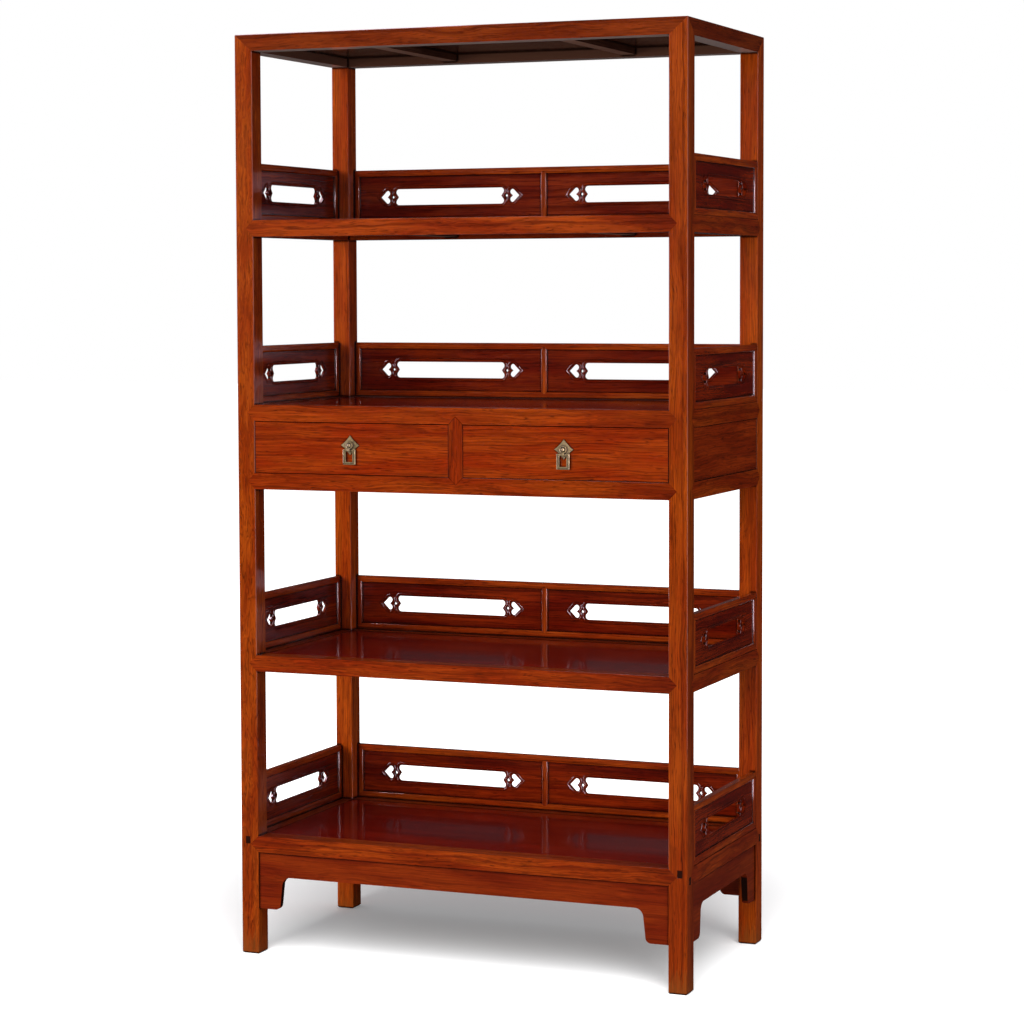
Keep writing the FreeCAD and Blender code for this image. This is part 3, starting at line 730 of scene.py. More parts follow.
APRON_WOOD = WoodFinish(
    name="waxed_rosewood_apron",
    pale="8a300a",
    mid="742007",
    dark="541305",
    vein="2a0a05",
    end="26100a",
    under="35140a",
    warp_mm=8.0,
    streak_share=0.28,
    line_share=0.25,
    fibre_share=0.26,
    pore_share=0.3,
    seed_mm=5101.0,
)
DRAWER_WOOD = WoodFinish(
    name="waxed_rosewood_drawer_front",
    pale="9e3b0a",
    mid="8e2805",
    dark="6a1a05",
    vein="300d05",
    end="2a1009",
    under="35140a",
    ring_mm=8.0,
    pith_mm=(90.0, 140.0),
    streak_share=0.5,
    pore_share=0.6,
    seed_mm=6007.0,
)
CASE_WOOD = WoodFinish(
    name="waxed_rosewood_case_panel",
    pale="9c360b",
    mid="862907",
    dark="5c1605",
    vein="260a05",
    end="26100a",
    under="35140a",
    ring_mm=10.0,
    streak_share=0.5,
    line_share=0.35,
    seed_mm=7013.0,
)
# Camphor wood, sawn and planed and left bare inside the drawers: pale, dry and without gloss.
LINING_WOOD = WoodFinish(
    name="bare_camphor_wood",
    pale="b98d5c",
    mid="a27547",
    dark="805532",
    vein="5c3a20",
    end="7a5230",
    under="94683f",
    grime_and_shade="33200f",
    ring_mm=5.0,
    warp_mm=7.0,
    pore_share=0.2,
    roughness=0.62,
    coat=0.0,
    seed_mm=8111.0,
)


def deselect() -> None:
    """Leave no object selected, so that the next operator acts on its own piece alone."""
    bpy.ops.object.select_all(action="DESELECT")


def choose(piece: bpy.types.Object) -> None:
    """Select one piece and make it the active one.

    Args:
        piece: The piece.
    """
    deselect()
    piece.select_set(True)
    bpy.context.view_layer.objects.active = piece


@contextmanager
def editing(piece: bpy.types.Object, test: Test | None = None) -> Iterator[None]:
    """Work on a piece in edit mode with some of its edges selected.

    Args:
        piece: The piece to edit.
        test: Keeps an edge whose two ends both pass it.  Without one, all is selected.

    Yields:
        Nothing; edit mode ends when the block ends.
    """
    choose(piece)
    bpy.ops.object.mode_set(mode="EDIT")
    bpy.ops.mesh.select_mode(type="EDGE")
    bpy.ops.mesh.select_all(action="SELECT" if test is None else "DESELECT")
    if test is not None:
        mesh = bmesh.from_edit_mesh(piece.data)
        for edge in mesh.edges:
            edge.select_set(all(test(vert.co) for vert in edge.verts))
        bmesh.update_edit_mesh(piece.data)
    yield
    bpy.ops.object.mode_set(mode="OBJECT")


def settle(piece: bpy.types.Object) -> bpy.types.Object:
    """Move a piece's place, turn and scale into its mesh.

    Args:
        piece: The piece.

    Returns:
        The same piece.
    """
    choose(piece)
    bpy.ops.object.transform_apply(location=True, rotation=True, scale=True)
    return piece


def bar(name: str, low: Vector, high: Vector) -> bpy.types.Object:
    """Squared bar between two corners, ready to be shaped.

    Args:
        name: Name of the piece.
        low: Lowest corner.
        high: Highest corner.

    Returns:
        The bar.
    """
    deselect()
    bpy.ops.mesh.primitive_cube_add(size=1.0, location=(low + high) / 2, scale=high - low)
    piece = bpy.context.active_object
    piece.name = name
    return settle(piece)


def rod(
    name: str, centre: Vector, radius: float, length: float, axis: Grain, sides: int
) -> bpy.types.Object:
    """Round rod along one axis, ready to be shaped.

    Args:
        name: Name of the piece.
        centre: Middle of the rod.
        radius: Its radius.
        length: Its length.
        axis: Axis that it lies along.
        sides: Number of flat sides that make it round.

    Returns:
        The rod.
    """
    turns = {
        Grain.ACROSS: (0.0, math.pi / 2, 0.0),
        Grain.DEEP: (math.pi / 2, 0.0, 0.0),
        Grain.UPRIGHT: (0.0, 0.0, 0.0),
    }
    deselect()
    bpy.ops.mesh.primitive_cylinder_add(
        vertices=sides, radius=radius, depth=length, location=centre, rotation=turns[axis]
    )
    piece = bpy.context.active_object
    piece.name = name
    return settle(piece)


def ease(piece: bpy.types.Object, width: float, segments: int, test: Test | None = None) -> None:
    """Bevel the sharp edges of a piece, or those that pass a test.

    Args:
        piece: The piece.
        width: Width of the bevel.
        segments: Facets across the bevel.
        test: Keeps an edge whose two ends both pass it.
    """
    with editing(piece, test):
        if test is None:
            bpy.ops.mesh.select_all(action="DESELECT")
            bpy.ops.mesh.edges_select_sharp(sharpness=SHARP_EDGE)
        bpy.ops.mesh.bevel(offset=width, segments=segments, affect="EDGES", clamp_overlap=True)


def cut_plane(piece: bpy.types.Object, point: Vector, normal: Vector) -> None:
    """Saw off what lies on the normal's side of a plane.

    Args:
        piece: The piece.
        point: A point of the plane.
        normal: The plane's normal.
    """
    with editing(piece):
        bpy.ops.mesh.bisect(
            plane_co=point, plane_no=normal, use_fill=True, clear_outer=True, threshold=0.01 * MM
        )


def carve(piece: bpy.types.Object, cutter: bpy.types.Object, keep_cutter: bool = False) -> None:
    """Cut one piece's shape out of another.

    Args:
        piece: The piece that is cut.
        cutter: The shape that is taken out.
        keep_cutter: Whether the cutter stays in the scene.
    """
    choose(piece)
    joint = piece.modifiers.new("carve", "BOOLEAN")
    joint.operation = "DIFFERENCE"
    joint.solver = "EXACT"
    joint.object = cutter
    bpy.ops.object.modifier_apply(modifier=joint.name)
    if not keep_cutter:
        bpy.data.objects.remove(cutter, do_unlink=True)


def joined(name: str, pieces: list[bpy.types.Object]) -> bpy.types.Object:
    """Join several members into one piece, each with its own material.

    Args:
        name: Name of the piece.
        pieces: The members, of which the first takes in the rest.

    Returns:
        The joined piece.
    """
    choose(pieces[0])
    for piece in pieces:
        piece.select_set(True)
    bpy.ops.object.join()
    pieces[0].name = name
    return pieces[0]


def copied(piece: bpy.types.Object, name: str, way: Vector) -> bpy.types.Object:
    """Copy a piece with a mesh of its own, moved along a vector.

    Args:
        piece: The piece to copy.
        name: Name of the copy.
        way: How far the copy is moved.

    Returns:
        The copy.
    """
    choose(piece)
    bpy.ops.object.duplicate(linked=False)
    twin = bpy.context.active_object
    twin.name = name
    twin.location = way
    return settle(twin)


def mirrored(piece: bpy.types.Object, name: str) -> bpy.types.Object:
    """Copy a piece, left for right.

    Args:
        piece: The piece to copy.
        name: Name of the copy.

    Returns:
        The copy.
    """
    choose(piece)
    bpy.ops.object.duplicate(linked=False)
    twin = bpy.context.active_object
    twin.name = name
    twin.scale = (-1.0, 1.0, 1.0)
    settle(twin)
    with editing(twin):
        bpy.ops.mesh.normals_make_consistent(inside=False)
    return twin


def dress(piece: bpy.types.Object, material: bpy.types.Material) -> bpy.types.Object:
    """Give a piece one material all over.

    Args:
        piece: The piece.
        material: The material.

    Returns:
        The same piece.
    """
    piece.data.materials.clear()
    piece.data.materials.append(material)
    return piece


def round_off(piece: bpy.types.Object) -> None:
    """Shade the gentle curves of a piece smooth and keep its corners crisp."""
    choose(piece)
    bpy.ops.object.shade_smooth_by_angle(angle=ROUND_EDGE)


@dataclass
class Joinery:
    """Pieces of the construction that stay as they are and only get their finish."""

    arris: float = 1.2 * MM
    arris_facets: int = 3
    merge_distance: float = 0.01 * MM
    sharp_angle: float = math.radians(30)

    def finish(self, node: str, wood: WoodFinish, grain: Grain) -> None:
        """Ease the arrises of a piece and give it its wood.

        Args:
            node: Name of the piece.
            wood: Its finish.
            grain: Axis that its grain follows.
        """
        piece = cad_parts[node]
        dress(piece, wood.made(grain))
        weld = piece.modifiers.new("merge", "WELD")
        weld.merge_threshold = self.merge_distance
        bevel = piece.modifiers.new("arris", "BEVEL")
        bevel.width = self.arris
        bevel.segments = self.arris_facets
        bevel.limit_method = "ANGLE"
        bevel.angle_limit = self.sharp_angle
        LOG.info("finished %s in %s", node, wood.name)


@dataclass
class Posts(Joinery):
    """The four through posts."""

    def build(self) -> None:
        """Finish every post, with worn feet."""
        for end in ("front", "rear"):
            for side in SIDES:
                front = BURR_POST_WOOD if side == "left" else POST_WOOD
                wood = front if end == "front" else REAR_POST_WOOD
                self.finish(f"post_{end}_{side}", wood, Grain.UPRIGHT)


@dataclass
class Frames(Joinery):
    """Rails of the shelves, the drawer case and the top."""

    def build(self) -> None:
        """Finish every rail along its length."""
        for name in FRAME_NAMES:
            self.finish(f"{name}_front_rail", RAIL_WOOD, Grain.ACROSS)
            self.finish(f"{name}_rear_rail", RAIL_WOOD, Grain.ACROSS)
            self.finish(f"{name}_side_rails", RAIL_WOOD, Grain.DEEP)
        self.finish("top_front_rail", TOP_RAIL_WOOD, Grain.ACROSS)
        self.finish("top_rear_rail", TOP_RAIL_WOOD, Grain.ACROSS)
        self.finish("top_side_rails", TOP_RAIL_WOOD, Grain.DEEP)


@dataclass
class Shelves(Joinery):
    """Floating panels and the battens under them."""

    def build(self) -> None:
        """Finish the panels and their battens."""
        for name in LEVELS + ("top",):
            self.finish(f"{name}_panel", SHELF_WOOD, Grain.ACROSS)
        self.finish("battens", SOFFIT_WOOD, Grain.DEEP)


@dataclass
class DrawerCase(Joinery):
    """Case around the drawers, and what carries them inside."""

    def build(self) -> None:
        """Finish the walls, the stile and the tracks."""
        self.finish("centre_stile", STILE_WOOD, Grain.UPRIGHT)
        self.finish("case_back_panel", CASE_WOOD, Grain.ACROSS)
        self.finish("case_side_panels", CASE_WOOD, Grain.DEEP)
        self.finish("dust_board", SOFFIT_WOOD, Grain.ACROSS)
        self.finish("drawer_tracks", LINING_WOOD, Grain.DEEP)


@dataclass
class Aprons(Joinery):
    """Aprons with bracket ends under the lowest shelf."""

    def build(self) -> None:
        """Finish the four aprons."""
        self.finish("apron_front", APRON_WOOD, Grain.ACROSS)
        self.finish("apron_rear", APRON_WOOD, Grain.ACROSS)
        self.finish("apron_sides", APRON_WOOD, Grain.DEEP)


@dataclass
class Drawers(Joinery):
    """The two drawers without their pulls."""

    def build(self) -> None:
        """Finish fronts, boxes and bottoms."""
        for side in SIDES:
            self.finish(f"drawer_front_{side}", DRAWER_WOOD, Grain.ACROSS)
            self.finish(f"drawer_box_{side}", LINING_WOOD, Grain.DEEP)
            self.finish(f"drawer_bottom_{side}", LINING_WOOD, Grain.ACROSS)


@dataclass
class Galleries:
    """Low pierced galleries round the back and sides of each shelf."""

    rail_height: float = 13.5 * MM
    stile_width: float = 13.0 * MM
    middle_width: float = 14.0 * MM
    bead_width: float = 5.0 * MM
    bead_radius: float = 3.6 * MM
    bead_facets: int = 6
    arris: float = 0.25 * MM
    panel_thickness: float = 5.0 * MM
    panel_tongue: float = 4.0 * MM
    slot_margin: float = 81.0 * MM
    slot_height: float = 33.0 * MM
    lobe_radius: float = 6.5 * MM
    cusp_depth: float = 5.6 * MM
    heart_gap: float = 12.4 * MM
    heart_lobe: float = 5.8 * MM
    heart_rise: float = 7.6 * MM
    heart_notch: float = 5.6 * MM
    heart_length: float = 21.5 * MM
    diamond_width: float = 8.2 * MM
    diamond_height: float = 9.2 * MM
    diamond_corners: int = 4
    cusp_angle: float = 45.0
    step_angle: float = 11.0
    rim_offset: float = 4.3 * MM
    rim_radius: float = 2.4 * MM
    rim_sink: float = 1.2 * MM
    rim_facets: int = 3
    thickness: float = field(init=False, default=0.0)
    height: float = field(init=False, default=0.0)

    def build(self) -> None:
        """Model the galleries of the lowest shelf and copy them to the other shelves."""
        low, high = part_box("bottom_gallery_back_frame")
        self.height = high.z - low.z
        self.thickness = high.y - low.y
        back_place = Matrix.Translation((0.0, low.y, low.z))
        back = self.gallery("back", high.x, True, back_place, Grain.ACROSS)
        side_low, side_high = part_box("bottom_gallery_side_frames")
        half_span = (side_high.y - side_low.y) / 2
        middle = (side_high.y + side_low.y) / 2
        turn = Matrix.Rotation(math.pi / 2, 4, "Z")
        side_place = Matrix.Translation((side_high.x, middle, side_low.z)) @ turn
        right = self.gallery("right", half_span, False, side_place, Grain.DEEP)
        for name in LEVELS:
            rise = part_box(f"{name}_gallery_back_frame")[0].z - low.z
            self.place(name, back, right, Vector((0.0, 0.0, rise)))
        for model in back + right:
            bpy.data.objects.remove(model, do_unlink=True)

    def place(
        self,
        level: str,
        back: list[bpy.types.Object],
        right: list[bpy.types.Object],
        way: Vector,
    ) -> None:
        """Copy the modelled galleries to one shelf.

        Args:
            level: Name of the shelf.
            back: Frame and panels of the back gallery.
            right: Frame and panels of the right gallery.
            way: Lift from the lowest shelf.
        """
        frames = copied(back[0], f"{level}_back_gallery", way)
        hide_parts(f"{level}_gallery_back_frame")
        sides = copied(right[0], f"{level}_right_gallery", way)
        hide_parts(f"{level}_gallery_side_frames")
        left = mirrored(sides, f"{level}_left_gallery")
        panels = copied(back[1], f"{level}_back_pierced_panels", way)
        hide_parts(f"{level}_gallery_panels")
        side_panel = copied(right[1], f"{level}_right_pierced_panel", way)
        left_panel = mirrored(side_panel, f"{level}_left_pierced_panel")
        for piece in (frames, sides, left, panels, side_panel, left_panel):
            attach(piece, "root")
            LOG.info("placed %s", piece.name)

    def gallery(
        self, name: str, half_span: float, with_middle: bool, place: Matrix, grain: Grain
    ) -> list[bpy.types.Object]:
        """Model one gallery, standing on z = 0 along X, and set it in its place.

        Args:
            name: Word that the names of its pieces start with.
            half_span: Half the distance between the posts.
            with_middle: Whether a middle stile parts two panels.
            place: Where the gallery goes.
            grain: Axis that its rails follow once it is in place.

        Returns:
            Its frame and its panels.
        """
        stiles = [
            self.stile(-half_span, -half_span + self.stile_width, False, True),
            self.stile(half_span - self.stile_width, half_span, True, False),
        ]
        sights = [(-half_span + self.stile_width, half_span - self.stile_width)]
        if with_middle:
            half_middle = self.middle_width / 2
            stiles.append(self.stile(-half_middle, half_middle, True, True))
            sights = [(sights[0][0], -half_middle), (half_middle, sights[0][1])]
        rails = [self.rail(half_span, False), self.rail(half_span, True)]
        for rail in rails:
            for stile in stiles:
                carve(rail, stile, keep_cutter=True)
            ease(rail, self.arris, 1)
            dress(rail, GALLERY_WOOD.made(grain))
        for stile in stiles:
            ease(stile, self.arris, 1)
            dress(stile, GALLERY_WOOD.made(Grain.UPRIGHT))
        whole = joined(f"{name}_gallery_model", rails + stiles)
        panels = [self.panel(left, right) for left, right in sights]
        boards = joined(f"{name}_panels_model", panels)
        dress(boards, PIERCED_WOOD.made(grain))
        for piece in (whole, boards):
            piece.matrix_world = place
            settle(piece)
            round_off(piece)
        return [whole, boards]

    def rail(self, half_span: float, upper: bool) -> bpy.types.Object:
        """Rail with a bead worked on its inner edge, on both faces.

        Args:
            half_span: Half its length.
            upper: Whether it is the upper rail, whose bead is below.

        Returns:
            The rail.
        """
        base = self.height - self.rail_height if upper else 0.0
        low = Vector((-half_span, 0.0, base))
        high = Vector((half_span, self.thickness, base + self.rail_height))
        piece = bar("gallery_rail", low, high)
        inner = base if upper else base + self.rail_height
        ease(piece, self.bead_radius, self.bead_facets, lambda co: abs(co.z - inner) < TOUCH)
        return piece

    def stile(
        self, left: float, right: float, bead_left: bool, bead_right: bool
    ) -> bpy.types.Object:
        """Stile whose beads are mitred into those of the rails.

        Args:
            left: Its left face.
            right: Its right face.
            bead_left: Whether its left edges are beaded.
            bead_right: Whether its right edges are beaded.

        Returns:
            The stile.
        """
        sight_low = self.rail_height
        sight_high = self.height - self.rail_height
        low = Vector((left, 0.0, sight_low - self.bead_width))
        high = Vector((right, self.thickness, sight_high + self.bead_width))
        piece = bar("gallery_stile", low, high)
        for beaded, face in ((bead_left, left), (bead_right, right)):
            if not beaded:
                continue
            outward = 1.0 if face == right else -1.0
            self.bead_upright(piece, face)
            corner_low = Vector((face, 0.0, sight_low))
            corner_high = Vector((face, 0.0, sight_high))
            cut_plane(piece, corner_low, Vector((outward, 0.0, -1.0)))
            cut_plane(piece, corner_high, Vector((outward, 0.0, 1.0)))
        return piece

    def bead_upright(self, piece: bpy.types.Object, face: float) -> None:
        """Round the upright edges of one face of a stile.

        Args:
            piece: The stile.
            face: Place of the face along X.
        """
        height = self.bead_width
        with editing(piece, lambda co: abs(co.x - face) < TOUCH):
            mesh = bmesh.from_edit_mesh(piece.data)
            for edge in mesh.edges:
                rise = abs(edge.verts[0].co.z - edge.verts[1].co.z)
                edge.select_set(edge.select and rise > height)
            bmesh.update_edit_mesh(piece.data)
            bpy.ops.mesh.bevel(
                offset=self.bead_radius, segments=self.bead_facets, affect="EDGES"
            )

    def arc(self, centre: Vector, radius: float, start: float, end: float) -> list[Vector]:
        """Points round an arc in the XZ plane.

        Args:
            centre: Centre of the arc.
            radius: Its radius.
            start: First angle in degrees.
            end: Last angle in degrees.

        Returns:
            The points, both ends included.
        """
        count = math.ceil(abs(end - start) / self.step_angle)
        points = []
        for index in range(count + 1):
            angle = math.radians(start + (end - start) * index / count)
            points.append(centre + Vector((math.cos(angle), 0.0, math.sin(angle))) * radius)
        return points

    def slot(self, half_length: float) -> list[Vector]:
        """Outline of the long slot, with two lobes and a pointed cusp at each end.

        Args:
            half_length: Half the length of the slot.

        Returns:
            Its points about the middle of the panel.
        """
        lobe = self.lobe_radius
        centre = Vector((half_length - lobe, 0.0, self.slot_height / 2 - lobe))
        upper = self.arc(centre, lobe, 90, -self.cusp_angle)
        upper.append(Vector((half_length - self.cusp_depth, 0.0, 0.0)))
        right = upper + [Vector((point.x, 0.0, -point.z)) for point in reversed(upper[:-1])]
        return right + [Vector((-point.x, 0.0, point.z)) for point in reversed(right)]

    def heart(self, tip: float, side: float) -> list[Vector]:
        """Outline of the heart, its point outwards.

        Args:
            tip: Distance of the heart's point from the middle of the panel.
            side: Plus one on the right, minus one on the left.

        Returns:
            Its points about the middle of the panel.
        """
        lobe = self.heart_lobe
        lobe_side = tip - self.heart_length
        centre = Vector((lobe_side + lobe, 0.0, self.heart_rise))
        run = tip - centre.x
        slope = math.atan2(self.heart_rise, run)
        slope += math.asin(lobe / math.hypot(run, self.heart_rise))
        upper = self.arc(centre, lobe, 90 - math.degrees(slope), 180 + self.cusp_angle)
        upper.append(Vector((lobe_side + self.heart_notch, 0.0, 0.0)))
        points = [Vector((tip, 0.0, 0.0))] + upper
        points += [Vector((point.x, 0.0, -point.z)) for point in reversed(upper[:-1])]
        return [Vector((side * point.x, 0.0, point.z)) for point in points]

    def diamond(self, centre: float) -> list[Vector]:
        """Outline of the small diamond between slot and heart.

        Args:
            centre: Its place along X.

        Returns:
            Its points about the middle of the panel.
        """
        half_wide = self.diamond_width / 2
        half_high = self.diamond_height / 2
        return [
            Vector((centre + half_wide, 0.0, 0.0)),
            Vector((centre, 0.0, half_high)),
            Vector((centre - half_wide, 0.0, 0.0)),
            Vector((centre, 0.0, -half_high)),
        ]

    def outlines(self, half_sight: float) -> list[list[Vector]]:
        """Outlines of all the piercings of one panel.

        Args:
            half_sight: Half the width of the panel in sight.

        Returns:
            Slot, hearts and diamonds.
        """
        half_slot = half_sight - self.slot_margin
        tip = half_slot + self.heart_gap + self.heart_length
        found = [self.slot(half_slot)]
        for side in (-1.0, 1.0):
            found.append(self.heart(tip, side))
            found.append(self.diamond(side * (half_slot + self.heart_gap / 2)))
        return found

    def cutter(self, points: list[Vector], place: Vector) -> bpy.types.Object:
        """Solid that cuts one piercing through a panel.

        Args:
            points: Outline of the piercing.
            place: Middle of the panel.

        Returns:
            The cutter.
        """
        deselect()
        bpy.ops.mesh.primitive_circle_add(vertices=len(points), radius=MM, fill_type="NGON")
        piece = bpy.context.active_object
        for vert, point in zip(piece.data.vertices, points):
            vert.co = point + place
        reach = Vector((0.0, self.thickness, 0.0))
        with editing(piece):
            bpy.ops.mesh.extrude_region_move(TRANSFORM_OT_translate={"value": reach})
        with editing(piece):
            bpy.ops.mesh.normals_make_consistent(inside=False)
        return piece

    def rim(self, points: list[Vector], place: Vector, face: float) -> bpy.types.Object:
        """Raised bead that follows a piercing, a little way outside its edge.

        Args:
            points: Outline of the piercing.
            place: Middle of the panel.
            face: Place along Y of the middle of the bead.

        Returns:
            The bead as a mesh.
        """
        curve = bpy.data.curves.new("rim", "CURVE")
        curve.dimensions = "3D"
        curve.bevel_depth = self.rim_radius
        curve.bevel_resolution = self.rim_facets
        line = curve.splines.new("POLY")
        line.use_cyclic_u = True
        line.points.add(len(points) - 1)
        for index, point in enumerate(points):
            moved = point + place + self.outward(points, index) * self.rim_offset
            line.points[index].co = (moved.x, face, moved.z, 1.0)
        piece = bpy.data.objects.new("rim", curve)
        bpy.context.scene.collection.objects.link(piece)
        choose(piece)
        bpy.ops.object.convert(target="MESH")
        return bpy.context.active_object

    def outward(self, points: list[Vector], index: int) -> Vector:
        """Direction that leads away from a closed outline at one of its points.

        Args:
            points: The outline.
            index: Number of the point.

        Returns:
            A vector of about unit length.
        """
        before = points[index] - points[index - 1]
        after = points[(index + 1) % len(points)] - points[index]
        area = sum(
            (points[at - 1].x * points[at].z - points[at].x * points[at - 1].z)
            for at in range(len(points))
        )
        turn = 1.0 if area > 0 else -1.0
        normals = [Vector((way.z, 0.0, -way.x)).normalized() * turn for way in (before, after)]
        total = (normals[0] + normals[1]).normalized()
        spread = max(total.dot(normals[0]), 0.5)
        return total / spread

    def panel(self, left: float, right: float) -> bpy.types.Object:
        """Pierced panel with a raised bead round its slot and its hearts.

        Args:
            left: Left edge of the sight.
            right: Right edge of the sight.

        Returns:
            The panel.
        """
        tongue = self.panel_tongue
        front = (self.thickness - self.panel_thickness) / 2
        back = front + self.panel_thickness
        low = Vector((left - tongue, front, self.rail_height - tongue))
        high = Vector((right + tongue, back, self.height - self.rail_height + tongue))
        piece = bar("pierced_panel", low, high)
        place = Vector(((left + right) / 2, 0.0, self.height / 2))
        outlines = self.outlines((right - left) / 2)
        for points in outlines:
            carve(piece, self.cutter(points, place))
        parts = [piece]
        for points in outlines:
            if len(points) > self.diamond_corners:
                for face in (front + self.rim_sink, back - self.rim_sink):
                    parts.append(self.rim(points, place, face))
        return joined("pierced_panel", parts)


# Radius and reach of each ring turned on the boss, as shares of its own, from the back on.
BOSS_RINGS = (
    (1.0, 0.0),
    (1.0, 0.62),
    (0.93, 0.74),
    (0.8, 0.78),
    (0.7, 0.72),
    (0.64, 0.56),
    (0.54, 0.56),
    (0.5, 0.72),
    (0.42, 0.87),
    (0.28, 0.96),
    (0.1, 1.0),
)


@dataclass
class Pulls:
    """Brass pulls: lozenge plate, ringed boss with its pin, and hanging bail."""

    plate_dip: float = 1.3 * MM
    plate_arris: float = 0.45 * MM
    plate_corners: int = 4
    eye_arris: float = 0.4 * MM
    leg_arris: float = 0.3 * MM
    bail_arris: float = 0.25 * MM
    arris_facets: int = 2
    edge_facets: int = 3
    bar_seat: float = 1.0 * MM
    hollow_depth: float = 20.0 * MM
    boss_radius: float = 7.2 * MM
    boss_reach: float = 7.2 * MM
    lug_radius: float = 3.0 * MM
    lug_width: float = 5.0 * MM
    neck_share: float = 0.85
    leg_width: float = 4.4 * MM
    leg_thickness: float = 1.2 * MM
    leg_length: float = 13.0 * MM
    bar_radius: float = 1.5 * MM
    bore_radius: float = 1.56 * MM
    window_width: float = 14.4 * MM
    side_trim: float = 0.8 * MM
    foot_height: float = 4.8 * MM
    half_thickness: float = 1.2 * MM
    rim_width: float = 1.4 * MM
    rim_depth: float = 0.9 * MM
    corner_radius: float = 1.2 * MM
    sides: int = 48

    def build(self) -> None:
        """Model the left pull and copy it to the right drawer."""
        brass = BrassFinish().made()
        models = {
            "pull_plate": self.plate(),
            "pull_pin": self.pin(),
            "bail": self.bail(),
        }
        left_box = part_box("pull_plate_left")
        right_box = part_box("pull_plate_right")
        apart = Vector((right_box[0].x - left_box[0].x, 0.0, 0.0))
        for name, model in models.items():
            dress(model, brass)
            round_off(model)
            twin = copied(model, f"brass_{name}_right", apart)
            model.name = f"brass_{name}_left"
            for piece, side in ((model, "left"), (twin, "right")):
                body = f"bail_{side}" if name == "bail" else f"drawer_{side}"
                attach(piece, body)
                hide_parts(f"{name}_{side}")
                LOG.info("made %s", piece.name)

    def plate(self) -> bpy.types.Object:
        """Lozenge plate whose four edges are hollowed by large round cutters.

        Returns:
            The plate.
        """
        low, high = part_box("pull_plate_left")
        middle = (low + high) / 2
        half_wide = (high.x - low.x) / 2
        half_high = (high.z - low.z) / 2
        thickness = high.y - low.y
        piece = rod("plate", middle, half_high, thickness, Grain.DEEP, self.plate_corners)
        chord = math.hypot(half_wide, half_high)
        radius = chord ** 2 / (8 * self.plate_dip) + self.plate_dip / 2
        for right in (-1.0, 1.0):
            for up in (-1.0, 1.0):
                away = Vector((right, 0.0, up)).normalized()
                foot = middle + Vector((right * half_wide, 0.0, up * half_high)) / 2
                centre = foot + away * (radius - self.plate_dip)
                sides = 6 * self.sides
                hollow = rod("hollow", centre, radius, self.hollow_depth, Grain.DEEP, sides)
                carve(piece, hollow)
        half_hole = Vector((self.leg_thickness, thickness, self.leg_width / 2))
        carve(piece, bar("hole", middle - half_hole, middle + half_hole))
        front = low.y + TOUCH
        clear = 2 * MM
        ease(
            piece,
            self.plate_arris,
            self.edge_facets,
            lambda co: co.y < front and abs(co.x - middle.x) > clear,
        )
        return piece

    def boss_level(self) -> float:
        """Height of the middle of the plate, which is the boss's too."""
        low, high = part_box("pull_plate_left")
        return (low.z + high.z) / 2

    def turned(self, centre: Vector, profile: list[tuple[float, float]]) -> bpy.types.Object:
        """Turn a round piece about the Y axis from its radii and reaches.

        Args:
            centre: Middle of its back, from which it reaches forwards.
            profile: Radius and reach of each ring, from the back to the crown.

        Returns:
            The turned piece.
        """
        deselect()
        bpy.ops.mesh.primitive_circle_add(
            vertices=self.sides,
            radius=profile[0][0],
            fill_type="NGON",
            location=centre - Vector((0.0, profile[0][1], 0.0)),
            rotation=(math.pi / 2, 0.0, 0.0),
        )
        piece = settle(bpy.context.active_object)
        with editing(piece):
            bpy.ops.mesh.select_mode(type="FACE")
            bpy.ops.mesh.select_all(action="SELECT")
            radius, reach = profile[0]
            for next_radius, next_reach in profile[1:]:
                step = Vector((0.0, reach - next_reach, 0.0))
                bpy.ops.mesh.extrude_region_move(TRANSFORM_OT_translate={"value": step})
                share = next_radius / radius
                ring = centre - Vector((0.0, next_reach, 0.0))
                bpy.ops.transform.resize(value=(share, 1.0, share), center_override=ring)
                radius, reach = next_radius, next_reach
            bpy.ops.mesh.select_all(action="SELECT")
            bpy.ops.mesh.normals_make_consistent(inside=False)
        return piece

    def pin(self) -> bpy.types.Object:
        """Ringed boss, the lug under it, and the legs clenched behind the drawer front.

        Returns:
            The pin.
        """
        low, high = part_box("pull_pin_left")
        plate_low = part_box("pull_plate_left")[0]
        middle_x = (low.x + high.x) / 2
        level = self.boss_level()
        seat = Vector((middle_x, plate_low.y, level))
        radius = self.boss_radius
        profile = [(radius * wide, self.boss_reach * far) for wide, far in BOSS_RINGS]
        boss = self.turned(seat, profile)
        axis = Vector((middle_x, low.y + self.lug_radius, low.z + self.lug_radius))
        eye = rod("eye", axis, self.lug_radius, self.lug_width, Grain.ACROSS, self.sides)
        ease(eye, self.eye_arris, self.arris_facets)
        half_lug = self.lug_width / 2
        neck_low = Vector((middle_x - half_lug, axis.y - self.lug_radius / 2, axis.z))
        neck_high = Vector((middle_x + half_lug, seat.y, level - radius * self.neck_share))
        neck = bar("neck", neck_low, neck_high)
        bore = rod("bore", axis, self.bore_radius, 3 * self.lug_width, Grain.ACROSS, self.sides)
        carve(neck, bore, keep_cutter=True)
        carve(eye, bore)
        inside = high.y - self.leg_thickness
        half_leg = self.leg_width / 2
        shank_low = Vector((middle_x - self.leg_thickness, seat.y, level - half_leg))
        shank_high = Vector((middle_x + self.leg_thickness, inside, level + half_leg))
        legs = [bar("shank", shank_low, shank_high)]
        legs_low = Vector((middle_x - self.leg_length, inside, level - half_leg))
        legs_high = Vector((middle_x + self.leg_length, high.y, level + half_leg))
        legs.append(bar("legs", legs_low, legs_high))
        for leg in legs:
            ease(leg, self.leg_arris, self.arris_facets)
        return joined("pin", [boss, eye, neck] + legs)

